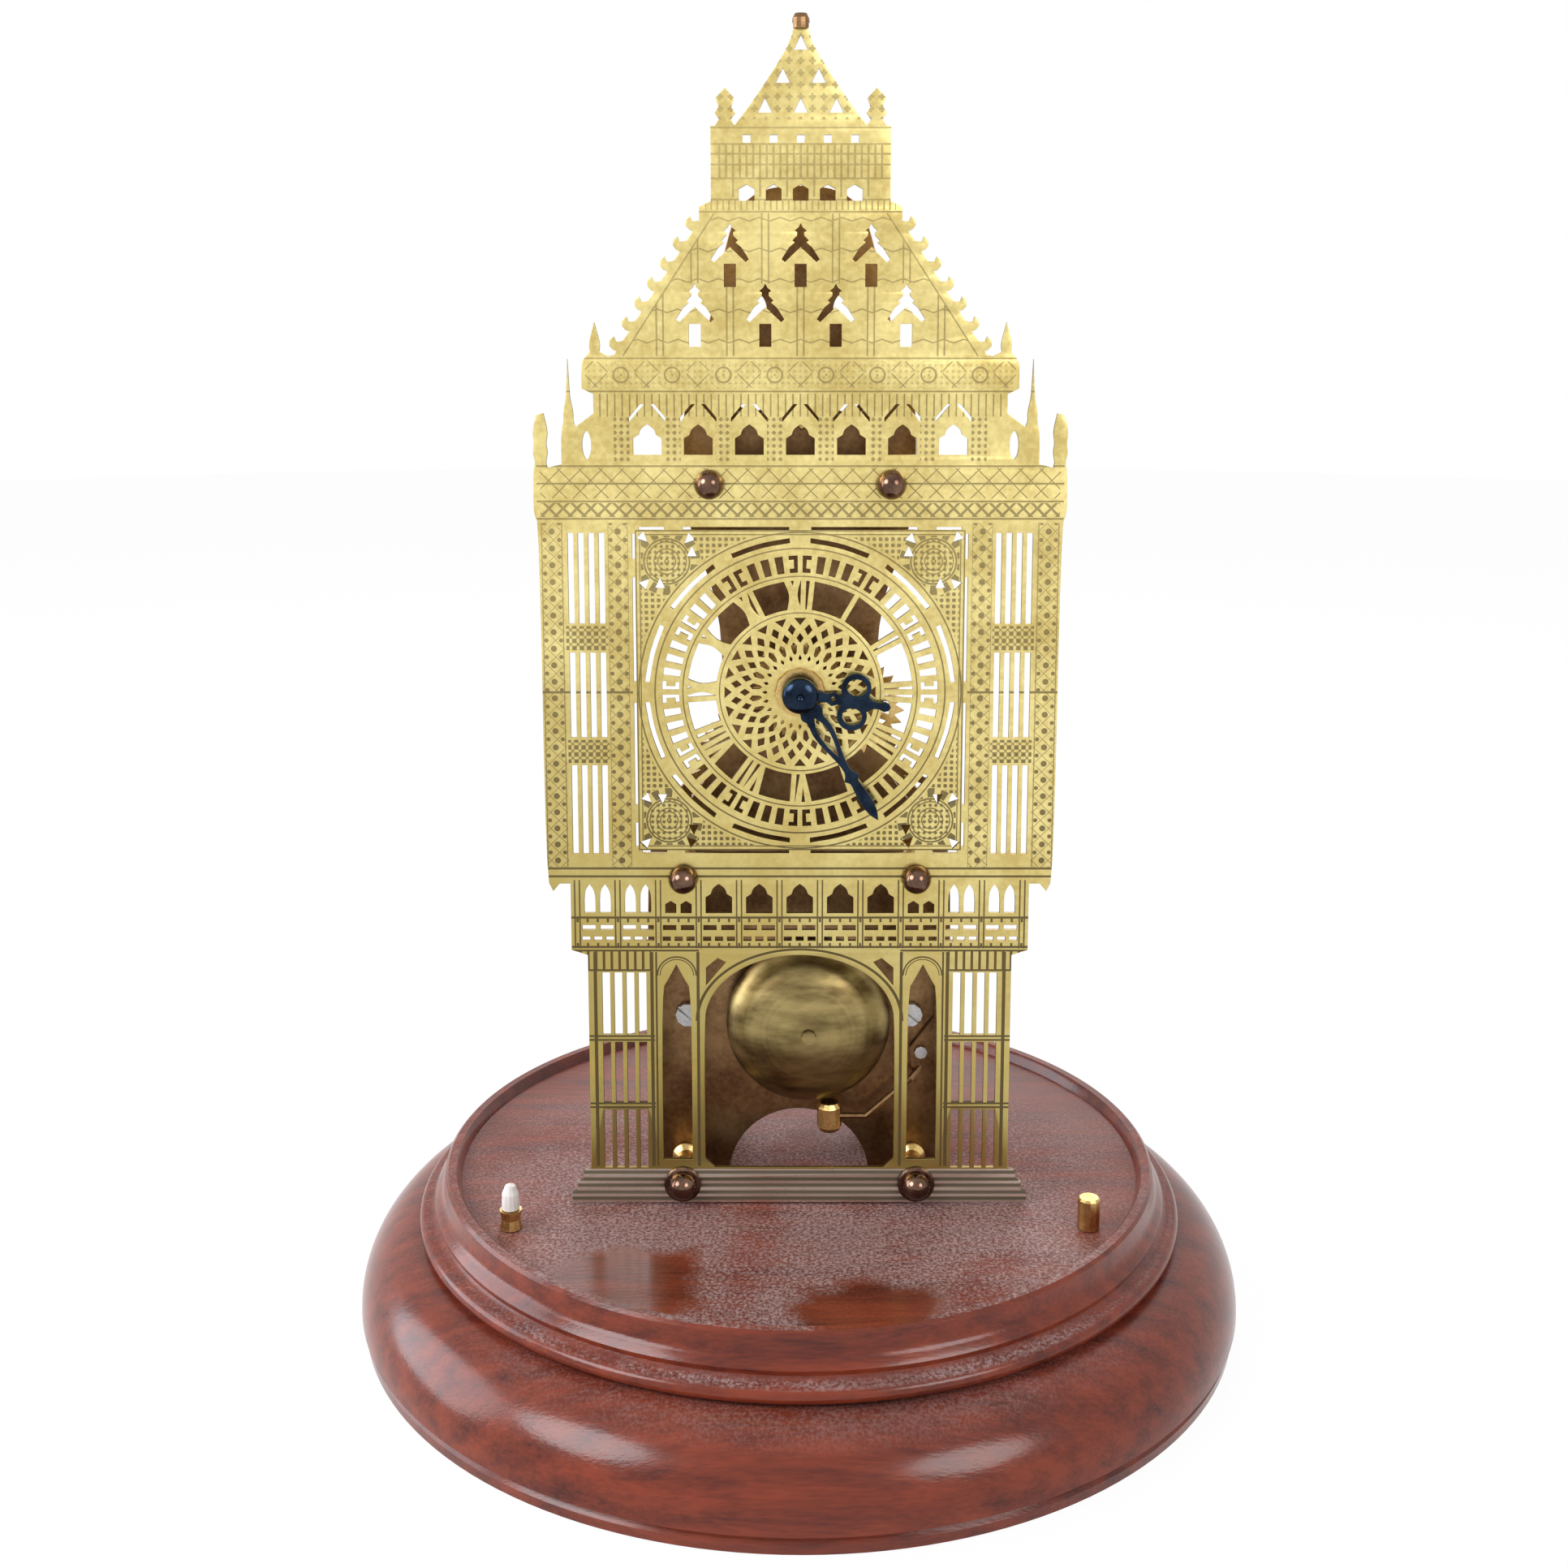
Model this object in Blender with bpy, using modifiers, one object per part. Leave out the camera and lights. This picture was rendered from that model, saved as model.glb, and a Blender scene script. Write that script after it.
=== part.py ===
"""Skeleton clock with a pierced tower front, a going train, a passing strike and a turned wooden base.

Metres, +Z up, the front faces -Y, and the origin is under the middle of the base.
Every wheel turns on an axis parallel to Y.
"""

from math import atan2, cos, hypot, pi, radians, sin, tau

import bmesh
import bpy

MM = 0.001

# Fits
CLEARANCE = 0.3 * MM
OVERRUN = 1.0 * MM

# Wooden base
BASE_RADIUS = 125.0 * MM
BASE_FOOT_HEIGHT = 4.0 * MM
BASE_OGEE_HEIGHT = 23.0 * MM
BASE_BEAD_HEIGHT = 4.2 * MM
BASE_COVE_HEIGHT = 10.6 * MM
BASE_SWELL = 16.6 * MM
BASE_COVE_WIDTH = 7.4 * MM
BASE_RIM_WIDTH = 3.8 * MM
BASE_RECESS_DEPTH = 3.0 * MM
BASE_FILLET = 0.8 * MM
BASE_SEGMENTS = 36

# Heights of the front sheet, from its foot upwards
FRONT_FOOT_GAP = 0.9 * MM
PLINTH_HEIGHT = 9.7 * MM
COLUMN_HEIGHT = 62.3 * MM
ARCADE_HEIGHT = 19.9 * MM
DIAL_STAGE_HEIGHT = 95.9 * MM
CORNICE_HEIGHT = 14.1 * MM
BELFRY_HEIGHT = 18.3 * MM
FRIEZE_HEIGHT = 9.2 * MM
ROOF_HEIGHT = 36.0 * MM
LANTERN_HEIGHT = 21.1 * MM
SPIRE_HEIGHT = 24.9 * MM

# Half-widths of the front sheet's stages
PLINTH_HALF = 61.9 * MM
COLUMN_HALF = 56.6 * MM
ARCADE_HALF = 60.9 * MM
DIAL_STAGE_HALF = 67.3 * MM
TURRET_HALF = 68.6 * MM
BELFRY_HALF = 52.8 * MM
FRIEZE_HALF = 55.7 * MM
ROOF_FOOT_HALF = 49.1 * MM
ROOF_TOP_HALF = 25.4 * MM
LANTERN_HALF = 22.4 * MM
SPIRE_FOOT_HALF = 16.6 * MM
SPIRE_TIP_HALF = 1.6 * MM

# Front sheet and how far the movement stands behind it
SHEET_THICKNESS = 1.2 * MM
SHEET_BACK_Y = -30.1 * MM
POST_LENGTH = 16.0 * MM
PLATE_THICKNESS = 2.0 * MM
PLATE_SPACE = 30.8 * MM

# Openings in the front sheet
BIG_ARCH_HALF = 25.9 * MM
BIG_ARCH_RISE = 18.9 * MM
BIG_ARCH_TOP_MARGIN = 1.2 * MM
SILL_CORNER = 2.7 * MM
MULLION_OUTER = 28.9 * MM
LANCET_OUTER = 37.3 * MM
LANCET_TOP_MARGIN = 3.7 * MM
COLUMN_GROUP_INNER = 41.0 * MM
COLUMN_GROUP_OUTER = 53.3 * MM
STAGE_GROUP_INNER = 50.5 * MM
STAGE_GROUP_OUTER = 60.5 * MM
GROUP_SLOTS = 4
MULLION_WIDTH = 0.7 * MM
BAY_PITCH = 10.8 * MM
BAY_HALF = 3.75 * MM
BAY_HEIGHT = 8.6 * MM
BAY_SILL = 9.9 * MM
WINDOW_PITCH = 13.1 * MM
WINDOW_HALF = 3.9 * MM
WINDOW_HEIGHT = 8.3 * MM
WINDOW_SILL = 2.4 * MM
DORMER_PITCH = 17.9 * MM
DORMER_HALF = 5.0 * MM
DORMER_HEIGHT = 10.5 * MM
DOOR_HALF = 1.5 * MM
DOOR_HEIGHT = 5.5 * MM
LANTERN_ARCH_PITCH = 6.8 * MM
LANTERN_ARCH_HALF = 2.2 * MM
LANTERN_ARCH_HEIGHT = 4.5 * MM

# Ornament round the edge of the front sheet
CROCKET_REACH = 2.2 * MM
CROCKET_RISE = 4.0 * MM
TURRET_WIDTH_HALF = 2.3 * MM
TURRET_RISE = 20.6 * MM
TURRET_FOOT_RISE = 6.5 * MM
NEEDLE_HALF = 1.7 * MM
NEEDLE_X = 59.5 * MM
NEEDLE_HEIGHT = 22.4 * MM
CORNER_PINNACLE_X = 52.5 * MM
CORNER_PINNACLE_HALF = 2.1 * MM
CORNER_PINNACLE_HEIGHT = 8.0 * MM
BEAD_PINNACLE_X = 19.0 * MM
BEAD_PINNACLE_HALF = 2.4 * MM
BEAD_PINNACLE_HEIGHT = 9.2 * MM
STAGE_PENDANT_HALF = 1.6 * MM
STAGE_PENDANT_DROP = 1.9 * MM
CORNICE_LIP = 1.4 * MM
OVAL_X = 54.9 * MM
OVAL_HALF = 1.5 * MM
OVAL_HEIGHT = 8.2 * MM

# Dial
DIAL_RISE = 50.4 * MM
DIAL_SQUARE_HALF = 43.8 * MM
DIAL_SLIT = 1.2 * MM
ARC_SLOT_INNER = 39.3 * MM
ARC_SLOT_OUTER = 41.0 * MM
ARC_SLOT_GAP_DEGREES = 7.0
NUMERAL_INNER = 21.9 * MM
NUMERAL_OUTER = 29.8 * MM
NUMERAL_STROKE = 0.9 * MM
NUMERAL_PITCH_DEGREES = 4.4
ROSETTE_OUTER = 19.6 * MM
ROSETTE_PETALS = 24
ROSETTE_ROOM_SHARE = 0.3

# Fixings of the front sheet
POST_RADIUS = 2.6 * MM
POST_COLLAR_RADIUS = 3.8 * MM
STUD_RADIUS = 1.4 * MM
NUT_RADIUS = 3.9 * MM
NUT_HEIGHT = 4.4 * MM
WASHER_RADIUS = 5.0 * MM
WASHER_THICKNESS = 0.8 * MM
TOP_POST_X = 23.5 * MM
TOP_POST_DROP = 5.0 * MM
MIDDLE_POST_X = 31.1 * MM
LOWER_POST_X = 31.9 * MM
LOWER_POST_RISE = 5.3 * MM
STUD_SHARE_IN_NUT = 0.4
DOME_DEGREES = (0, 35, 68)
FINIAL_RADIUS = 2.2 * MM
FINIAL_HEIGHT = 3.6 * MM

# Movement frame
PLATE_FOOT_MARGIN = 8.1 * MM
PLATE_BODY_MARGIN = 10.9 * MM
PLATE_HEAD_MARGIN = 7.5 * MM
PLATE_WAIST_HALF = 21.0 * MM
PLATE_TOP_HALF = 15.0 * MM
PLATE_STEP = 4.0 * MM
PLATE_WINDOW = 6.2 * MM
FOOT_ARCH_RADIUS = 20.0 * MM
PILLAR_RADIUS = 2.9 * MM
PILLAR_COLLAR_RADIUS = 4.2 * MM
SCREW_HEAD_RADIUS = 3.3 * MM
SCREW_HEAD_HEIGHT = 1.8 * MM
SCREW_SHANK_RADIUS = 1.3 * MM
MIDDLE_PILLAR_RISE = 37.6 * MM
BASE_BOLT_RADIUS = 1.7 * MM
BASE_BOLT_HEAD_RADIUS = 4.5 * MM
BASE_BOLT_HEAD_HEIGHT = 3.0 * MM
BASE_BOLT_SINK = 8.0 * MM

# Going train: modules, and the direction from each arbor to the next one above it
GREAT_MODULE = 1.0 * MM
CENTRE_MODULE = 0.7 * MM
THIRD_MODULE = 0.6 * MM
FOURTH_MODULE = 0.55 * MM
GREAT_TEETH = 60
CENTRE_PINION_LEAVES = 10
CENTRE_TEETH = 45
THIRD_PINION_LEAVES = 6
THIRD_TEETH = 48
FOURTH_PINION_LEAVES = 6
FOURTH_TEETH = 48
ESCAPE_PINION_LEAVES = 6
ESCAPE_TEETH = 15
THIRD_DIRECTION_DEGREES = 110.0
FOURTH_DIRECTION_DEGREES = 55.0
ESCAPE_DIRECTION_DEGREES = 100.0
ESCAPE_RADIUS = 8.0 * MM
PALLET_DISTANCE = 10.9 * MM
PALLET_PIN_RADIUS = 0.45 * MM
PALLET_PIN_STAND_OFF = 1.0 * MM
BALANCE_DISTANCE = 13.0 * MM
BALANCE_RADIUS = 11.0 * MM
BALANCE_RIM = 1.5 * MM
BALANCE_ARM_ANGLE = radians(25)
ROLLER_RADIUS = 2.2 * MM
WHEEL_THICKNESS = 1.2 * MM
PINION_LENGTH = 4.2 * MM
ARBOR_RADIUS = 1.0 * MM
ESCAPE_ARBOR_RADIUS = 0.85 * MM
CENTRE_ARBOR_RADIUS = 1.5 * MM
PIVOT_RADIUS = 0.7 * MM
STUD_SHANK = 0.9 * MM
WHEEL_HUB_RADIUS = 3.4 * MM
WHEEL_ARMS = 3
WHEEL_ARM_WIDTH = 1.8 * MM
SPRING_STRIP = 0.3 * MM
BALANCE_SPRING_TURNS = 3

# Distances of the wheels behind the front plate
ESCAPE_DEPTH = 5.2 * MM
THIRD_DEPTH = 9.3 * MM
FOURTH_DEPTH = 14.8 * MM
GREAT_DEPTH = 18.8 * MM
CENTRE_DEPTH = 23.8 * MM
BALANCE_DEPTH = 12.6 * MM
SPRING_DEPTH = 17.5 * MM

# Barrel and winding
BARREL_RADIUS = 24.0 * MM
BARREL_WALL = 1.2 * MM
BARREL_DEPTH = 15.5 * MM
GREAT_WHEEL_THICKNESS = 2.0 * MM
BARREL_ARBOR_RADIUS = 3.0 * MM
BARREL_PIVOT_RADIUS = 2.1 * MM
MAINSPRING_THICKNESS = 0.5 * MM
MAINSPRING_TURNS = 5
WINDING_SQUARE = 4.0 * MM
WINDING_LENGTH = 12.0 * MM
RATCHET_RADIUS = 9.0 * MM
RATCHET_TEETH = 18
RATCHET_TOOTH = 1.3 * MM
CLICK_LENGTH = 13.0 * MM
CLICK_RISE = 1.9 * MM

# Motion work
MOTION_MODULE = 1.0 * MM
CANNON_LEAVES = 8
MINUTE_WHEEL_TEETH = 24
HOUR_PINION_LEAVES = 8
HOUR_WHEEL_TEETH = 32
CANNON_TUBE_RADIUS = 2.5 * MM
HOUR_PIPE_RADIUS = 4.0 * MM
DIAL_BUSH_RADIUS = 6.5 * MM
BUSH_SLEEVE_RADIUS = 5.4 * MM
MOTION_DIRECTION_DEGREES = 340.0
MOTION_SHEET_GAP = 1.5 * MM
HOUR_WHEEL_GAP = 3.0 * MM
MOTION_WHEEL_GAP = 1.0 * MM
SNAIL_RADIUS = 6.0 * MM
SNAIL_LEAST_SHARE = 0.55
BUSH_FLANGE = 0.8 * MM
HAND_GAP = 0.8 * MM
MINUTE_HAND_LENGTH = 39.3 * MM
HOUR_HAND_LENGTH = 22.3 * MM
MINUTE_HAND_DEGREES = 148.5
HOUR_HAND_DEGREES = 99.0
HAND_THICKNESS = 0.9 * MM
HAND_NUT_RADIUS = 5.3 * MM
HAND_NUT_HEIGHT = 3.0 * MM

# Bell and hammer
BELL_RADIUS = 23.0 * MM
BELL_HEIGHT = 11.5 * MM
BELL_WALL = 1.2 * MM
BELL_X = 2.5 * MM
BELL_RISE = 46.3 * MM
BELL_FRONT_GAP = 1.4 * MM
BELL_POST_RADIUS = 2.0 * MM
BELL_TENON_RADIUS = 1.2 * MM
HAMMER_PIVOT_OUTSET = 2.9 * MM
HAMMER_PIVOT_RISE = 27.0 * MM
HAMMER_HEAD_RADIUS = 3.4 * MM
HAMMER_HEAD_LENGTH = 8.0 * MM
HAMMER_HEAD_X = 8.4 * MM
HAMMER_BELL_GAP = 0.6 * MM
HAMMER_TAIL_GAP = 1.1 * MM
HAMMER_HUB_RADIUS = 3.2 * MM
HAMMER_BAR_HALF = 1.2 * MM
HAMMER_BAR_OUTSET = 4.9 * MM
HAMMER_ELBOW_RISE = 10.0 * MM
HAMMER_TAIL_DROP = 14.0 * MM
HAMMER_WIRE_RADIUS = 0.9 * MM

# Pegs on the base
PEG_RIM_DISTANCE = 8.2 * MM
PEG_DIRECTION_DEGREES = 30.0
PEG_RADIUS = 3.0 * MM
PEG_SHANK_RADIUS = 1.8 * MM
PEG_HEIGHT = 8.5 * MM
PEG_SINK = 6.0 * MM
PEG_CAP_HEIGHT = 7.0 * MM

# Radii and half-widths that follow their neighbours
BASE_BEAD_RADIUS = BASE_RADIUS - BASE_SWELL
BASE_RIM_OUTER_RADIUS = BASE_BEAD_RADIUS - BASE_COVE_WIDTH
BASE_RIM_INNER_RADIUS = BASE_RIM_OUTER_RADIUS - BASE_RIM_WIDTH
PEG_CIRCLE_RADIUS = BASE_RIM_INNER_RADIUS - PEG_RIM_DISTANCE
PLATE_FOOT_HALF = LOWER_POST_X + PLATE_FOOT_MARGIN
PLATE_BODY_HALF = MIDDLE_POST_X + PLATE_BODY_MARGIN
PLATE_HEAD_HALF = TOP_POST_X + PLATE_HEAD_MARGIN
HAMMER_PIVOT_X = MIDDLE_POST_X + HAMMER_PIVOT_OUTSET
HAMMER_BAR_X = HAMMER_PIVOT_X + HAMMER_BAR_OUTSET

# Levels and planes worked out from the sizes above
BASE_RIM_Z = BASE_FOOT_HEIGHT + BASE_OGEE_HEIGHT + BASE_BEAD_HEIGHT + BASE_COVE_HEIGHT
FLOOR_Z = BASE_RIM_Z - BASE_RECESS_DEPTH
SILL_Z = FLOOR_Z + FRONT_FOOT_GAP
PLINTH_TOP_Z = SILL_Z + PLINTH_HEIGHT
ARCADE_Z = PLINTH_TOP_Z + COLUMN_HEIGHT
STAGE_Z = ARCADE_Z + ARCADE_HEIGHT
CORNICE_Z = STAGE_Z + DIAL_STAGE_HEIGHT
BELFRY_Z = CORNICE_Z + CORNICE_HEIGHT
FRIEZE_Z = BELFRY_Z + BELFRY_HEIGHT
ROOF_Z = FRIEZE_Z + FRIEZE_HEIGHT
LANTERN_Z = ROOF_Z + ROOF_HEIGHT
SPIRE_Z = LANTERN_Z + LANTERN_HEIGHT
TIP_Z = SPIRE_Z + SPIRE_HEIGHT
DIAL_Z = STAGE_Z + DIAL_RISE
SHEET_FRONT_Y = SHEET_BACK_Y - SHEET_THICKNESS
FRONT_PLATE_Y = SHEET_BACK_Y + POST_LENGTH + 2 * CLEARANCE
FRONT_PLATE_BACK_Y = FRONT_PLATE_Y + PLATE_THICKNESS
BACK_PLATE_Y = FRONT_PLATE_BACK_Y + PLATE_SPACE
BACK_PLATE_BACK_Y = BACK_PLATE_Y + PLATE_THICKNESS
TOP_POST_Z = BELFRY_Z - TOP_POST_DROP
MIDDLE_POST_Z = STAGE_Z - CLEARANCE
LOWER_POST_Z = SILL_Z + LOWER_POST_RISE
MIDDLE_PILLAR_Z = PLINTH_TOP_Z + MIDDLE_PILLAR_RISE
BELL_Z = SILL_Z + BELL_RISE
STUD_END_Y = SHEET_FRONT_Y - CLEARANCE - NUT_HEIGHT * STUD_SHARE_IN_NUT
MOTION_FRONT_Y = SHEET_BACK_Y + MOTION_SHEET_GAP
HOUR_WHEEL_Y = MOTION_FRONT_Y + HOUR_WHEEL_GAP
MINUTE_WHEEL_Y = HOUR_WHEEL_Y + WHEEL_THICKNESS + MOTION_WHEEL_GAP
CANNON_BACK_Y = MINUTE_WHEEL_Y + WHEEL_THICKNESS + MOTION_WHEEL_GAP
HAMMER_LEVER_Y = FRONT_PLATE_Y - 2 * CLEARANCE - WHEEL_THICKNESS
HOUR_HAND_Y = SHEET_FRONT_Y - 2 * CLEARANCE - BUSH_FLANGE - HAND_THICKNESS
MINUTE_HAND_Y = HOUR_HAND_Y - HAND_GAP - HAND_THICKNESS
HAND_NUT_SEAT_Y = MINUTE_HAND_Y - CLEARANCE
BELL_CROWN_Y = SHEET_BACK_Y + BELL_FRONT_GAP
BELL_RIM_Y = BELL_CROWN_Y + BELL_HEIGHT
BOLT_Y = (FRONT_PLATE_BACK_Y + BACK_PLATE_Y) / 2
POST_ROWS = {"top": (TOP_POST_X, TOP_POST_Z), "middle": (MIDDLE_POST_X, MIDDLE_POST_Z),
             "lower": (LOWER_POST_X, LOWER_POST_Z)}
PILLAR_ROWS = {"top": (TOP_POST_X, TOP_POST_Z), "middle": (MIDDLE_POST_X, MIDDLE_PILLAR_Z),
               "lower": (LOWER_POST_X, LOWER_POST_Z)}
SIDES = {"left": -1, "right": 1}


def places(rows):
    """Both sides of each row, as {name: (x, z)}."""
    return {f"{row}_{side}": (sign * x, z) for row, (x, z) in rows.items() for side, sign in SIDES.items()}


POST_PLACES = places(POST_ROWS)
PILLAR_PLACES = places(PILLAR_ROWS)


def clear_scene():
    for thing in list(bpy.data.objects):
        bpy.data.objects.remove(thing)


def new_collection(name):
    collection = bpy.data.collections.new(name)
    bpy.context.scene.collection.children.link(collection)
    return collection


def principled(name, colour, roughness, metallic):
    material = bpy.data.materials.new(name)
    material.use_nodes = True
    shader = material.node_tree.nodes["Principled BSDF"]
    shader.inputs["Base Color"].default_value = (*colour, 1.0)
    shader.inputs["Roughness"].default_value = roughness
    shader.inputs["Metallic"].default_value = metallic
    material.diffuse_color = (*colour, 1.0)
    return material


FINISHES = {
    "gilt": ((0.83, 0.66, 0.24), 0.22, 1.0),
    "brass": ((0.70, 0.50, 0.20), 0.28, 1.0),
    "old_brass": ((0.30, 0.24, 0.10), 0.35, 1.0),
    "dark_brass": ((0.22, 0.12, 0.06), 0.12, 1.0),
    "steel": ((0.55, 0.55, 0.56), 0.25, 1.0),
    "blued_steel": ((0.02, 0.04, 0.08), 0.22, 1.0),
    "mahogany": ((0.16, 0.035, 0.02), 0.25, 0.0),
    "pale_cap": ((0.75, 0.70, 0.66), 0.4, 0.0),
}


def put(name, mesh, finish, location=(0, 0, 0), rotation=(0, 0, 0), collection=None):
    """Make an object of a mesh, with a material of its own."""
    thing = bpy.data.objects.new(name, mesh)
    thing.location = location
    thing.rotation_euler = rotation
    (collection or PARTS).objects.link(thing)
    if finish:
        mesh.materials.clear()
        mesh.materials.append(principled(name + "_finish", *FINISHES[finish]))
    return thing


def evaluated_mesh(thing, weld=MM / 1000):
    """Take the shape that the viewport shows, welded, with sharp corners kept."""
    bpy.context.view_layer.update()
    depsgraph = bpy.context.evaluated_depsgraph_get()
    mesh = bpy.data.meshes.new_from_object(thing.evaluated_get(depsgraph))
    shape = bmesh.new()
    shape.from_mesh(mesh)
    bmesh.ops.remove_doubles(shape, verts=shape.verts, dist=weld)
    shape.to_mesh(mesh)
    shape.free()
    mesh.shade_smooth()
    mesh.set_sharp_from_angle(angle=radians(32))
    return mesh


def settled(thing, finish):
    """Replace an object by one whose mesh holds the modifiers' or the curve's result."""
    name, location, rotation = thing.name, thing.location.copy(), thing.rotation_euler.copy()
    mesh = evaluated_mesh(thing)
    bpy.data.objects.remove(thing)
    mesh.name = name
    return put(name, mesh, finish, location, rotation)


def sheet(name, outlines, thickness, front_y, finish, pivot=(0, 0)):
    """Cut a flat piece from plate: outlines in (x, z), the first one outside and the rest holes."""
    curve = bpy.data.curves.new(name, "CURVE")
    curve.dimensions = "2D"
    curve.fill_mode = "BOTH"
    curve.extrude = thickness / 2
    for outline in outlines:
        spline = curve.splines.new("POLY")
        spline.points.add(len(outline) - 1)
        for point, (x, z) in zip(spline.points, outline):
            point.co = (x - pivot[0], z - pivot[1], 0, 1)
        spline.use_cyclic_u = True
    blank = bpy.data.objects.new(name, curve)
    blank.location = (pivot[0], front_y + thickness / 2, pivot[1])
    blank.rotation_euler = (pi / 2, 0, 0)
    PARTS.objects.link(blank)
    return settled(blank, finish)


def turned(name, profile, finish, centre=None, segments=12, closed=False):
    """Turn a piece from a profile that runs down its outer side.

    With a centre (x, z) the profile is (radius, y) from front to back, about an axis along Y.
    Without one it is (radius, z) from top to bottom, about the upright axis.
    """
    mesh = bpy.data.meshes.new(name)
    lying = centre is not None
    points = [(radius, 0, -along if lying else along) for radius, along in profile]
    count = len(points)
    edges = [(i, i + 1) for i in range(count - 1)] + ([(count - 1, 0)] if closed else [])
    mesh.from_pydata(points, edges, [])
    blank = bpy.data.objects.new(name, mesh)
    PARTS.objects.link(blank)
    screw = blank.modifiers.new("turn", "SCREW")
    screw.steps = screw.render_steps = segments
    screw.use_merge_vertices = True
    screw.merge_threshold = MM / 1000
    if lying:
        blank.location = (centre[0], 0, centre[1])
        blank.rotation_euler = (pi / 2, 0, 0)
    return settled(blank, finish)


def combine(operation, body, others, finish):
    """Join pieces to a body or cut them out of it, with one exact Boolean each."""
    for other in others:
        tool = body.modifiers.new("shape", "BOOLEAN")
        tool.operation = operation
        tool.solver = "EXACT"
        tool.object = other
    body = settled(body, finish)
    for other in others:
        bpy.data.objects.remove(other)
    return body


def united(name, things, finish):
    """Join overlapping solids to one body with the exact solver."""
    body = combine("UNION", things[0], things[1:], finish)
    body.name = body.data.name = name
    return body



def rod(name, radius, start, end, finish, segments=8):
    """Draw a straight or bent wire as a curve with filled caps, from a list of points."""
    points = [start, *end] if isinstance(end, list) else [start, end]
    curve = bpy.data.curves.new(name, "CURVE")
    curve.dimensions = "3D"
    curve.bevel_depth = radius
    curve.bevel_resolution = (segments - 4) // 2
    curve.use_fill_caps = True
    spline = curve.splines.new("POLY")
    spline.points.add(len(points) - 1)
    for point, place in zip(spline.points, points):
        point.co = (*place, 1)
    wire = bpy.data.objects.new(name, curve)
    PARTS.objects.link(wire)
    return settled(wire, finish)


def polar(radius, angle, centre=(0, 0)):
    return centre[0] + radius * cos(angle), centre[1] + radius * sin(angle)


def circle(radius, centre=(0, 0), count=10):
    return [polar(radius, tau * i / count, centre) for i in range(count)]


def arc(radius, start, end, count, centre=(0, 0)):
    return [polar(radius, start + (end - start) * i / (count - 1), centre) for i in range(count)]


def box(left, right, low, high):
    return [(left, low), (right, low), (right, high), (left, high)]


def scaled(shares, half, height, x=0, z=0):
    """Place an outline given in shares of a half-width and a height."""
    return [(x + side * half, z + rise * height) for side, rise in shares]


def both_sides(shares):
    """Complete a half outline, listed from the foot up to the middle, to a whole one."""
    return shares + [(-side, rise) for side, rise in reversed(shares) if side]


def mirrored(outlines):
    return outlines + [[(-x, z) for x, z in reversed(outline)] for outline in outlines]


def towards(start, distance, angle):
    return polar(distance, angle, start)


# Outlines in shares of a half-width and a height, from the foot up to the middle
CUSPED_SHARES = [(1, 0), (1, 0.55), (0.62, 0.66), (0.5, 0.84), (0, 1)]
LIGHT_SHARES = [(1, 0), (1, 0.72), (0, 1)]
LANCET_SHARES = [(1, 0.04), (1, 0.87), (0.58, 0.92), (0, 1)]
GABLE_SHARES = [(1, 0.02), (0, 0.34), (-1, 0.02), (-0.5, 0.46), (-0.16, 0.54), (0, 1), (0.16, 0.54), (0.5, 0.46)]
PLINTH_SHARES = [(1, 0), (1, 0.26), (0.975, 0.32), (0.975, 0.58), (0.95, 0.64), (0.95, 0.9)]
TURRET_SHARES = [(1, 0), (0.95, 0.3), (0.7, 0.4), (1, 0.52), (0.8, 0.64), (1, 0.78), (0.55, 0.98),
                 (-0.1, 1), (-0.55, 0.78), (-0.3, 0.64), (-0.5, 0.52), (-0.25, 0.4), (-0.45, 0.32)]
NEEDLE_SHARES = [(1, 0), (1, 0.37), (0.55, 0.5), (0.65, 0.6), (0.15, 0.76), (0, 1),
                 (-0.15, 0.76), (-0.65, 0.6), (-0.55, 0.5), (-1, 0.42)]
PINNACLE_SHARES = [(1, 0), (0.45, 0.16), (0.6, 0.42), (0, 1), (-0.6, 0.42), (-0.45, 0.16)]
BEAD_PINNACLE_SHARES = [(1, 0), (0.5, 0.2), (0.95, 0.38), (0.55, 0.52), (0.85, 0.76), (0, 1),
                        (-0.85, 0.76), (-0.55, 0.52), (-0.95, 0.38), (-0.5, 0.2)]
CROCKET_SHARES = [(0, 0), (1, 0.2), (0.3, 1)]
SPIRE_SHARES = [(1, 0), (0.76, 0.2), (0.54, 0.41), (0.29, 0.66), (0.12, 0.87)]
CROCKETS = 6


def crockets():
    """Little leaves up the edge of the roof, computed along its slope."""
    points = []
    run, rise = ROOF_TOP_HALF - ROOF_FOOT_HALF, ROOF_HEIGHT
    step = 1 / CROCKETS
    for i in range(CROCKETS):
        share = (i + 0.42) * step
        foot = (ROOF_FOOT_HALF + run * share, ROOF_Z + rise * share)
        points += scaled(CROCKET_SHARES, CROCKET_REACH, CROCKET_RISE, *foot)
    return points




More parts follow.
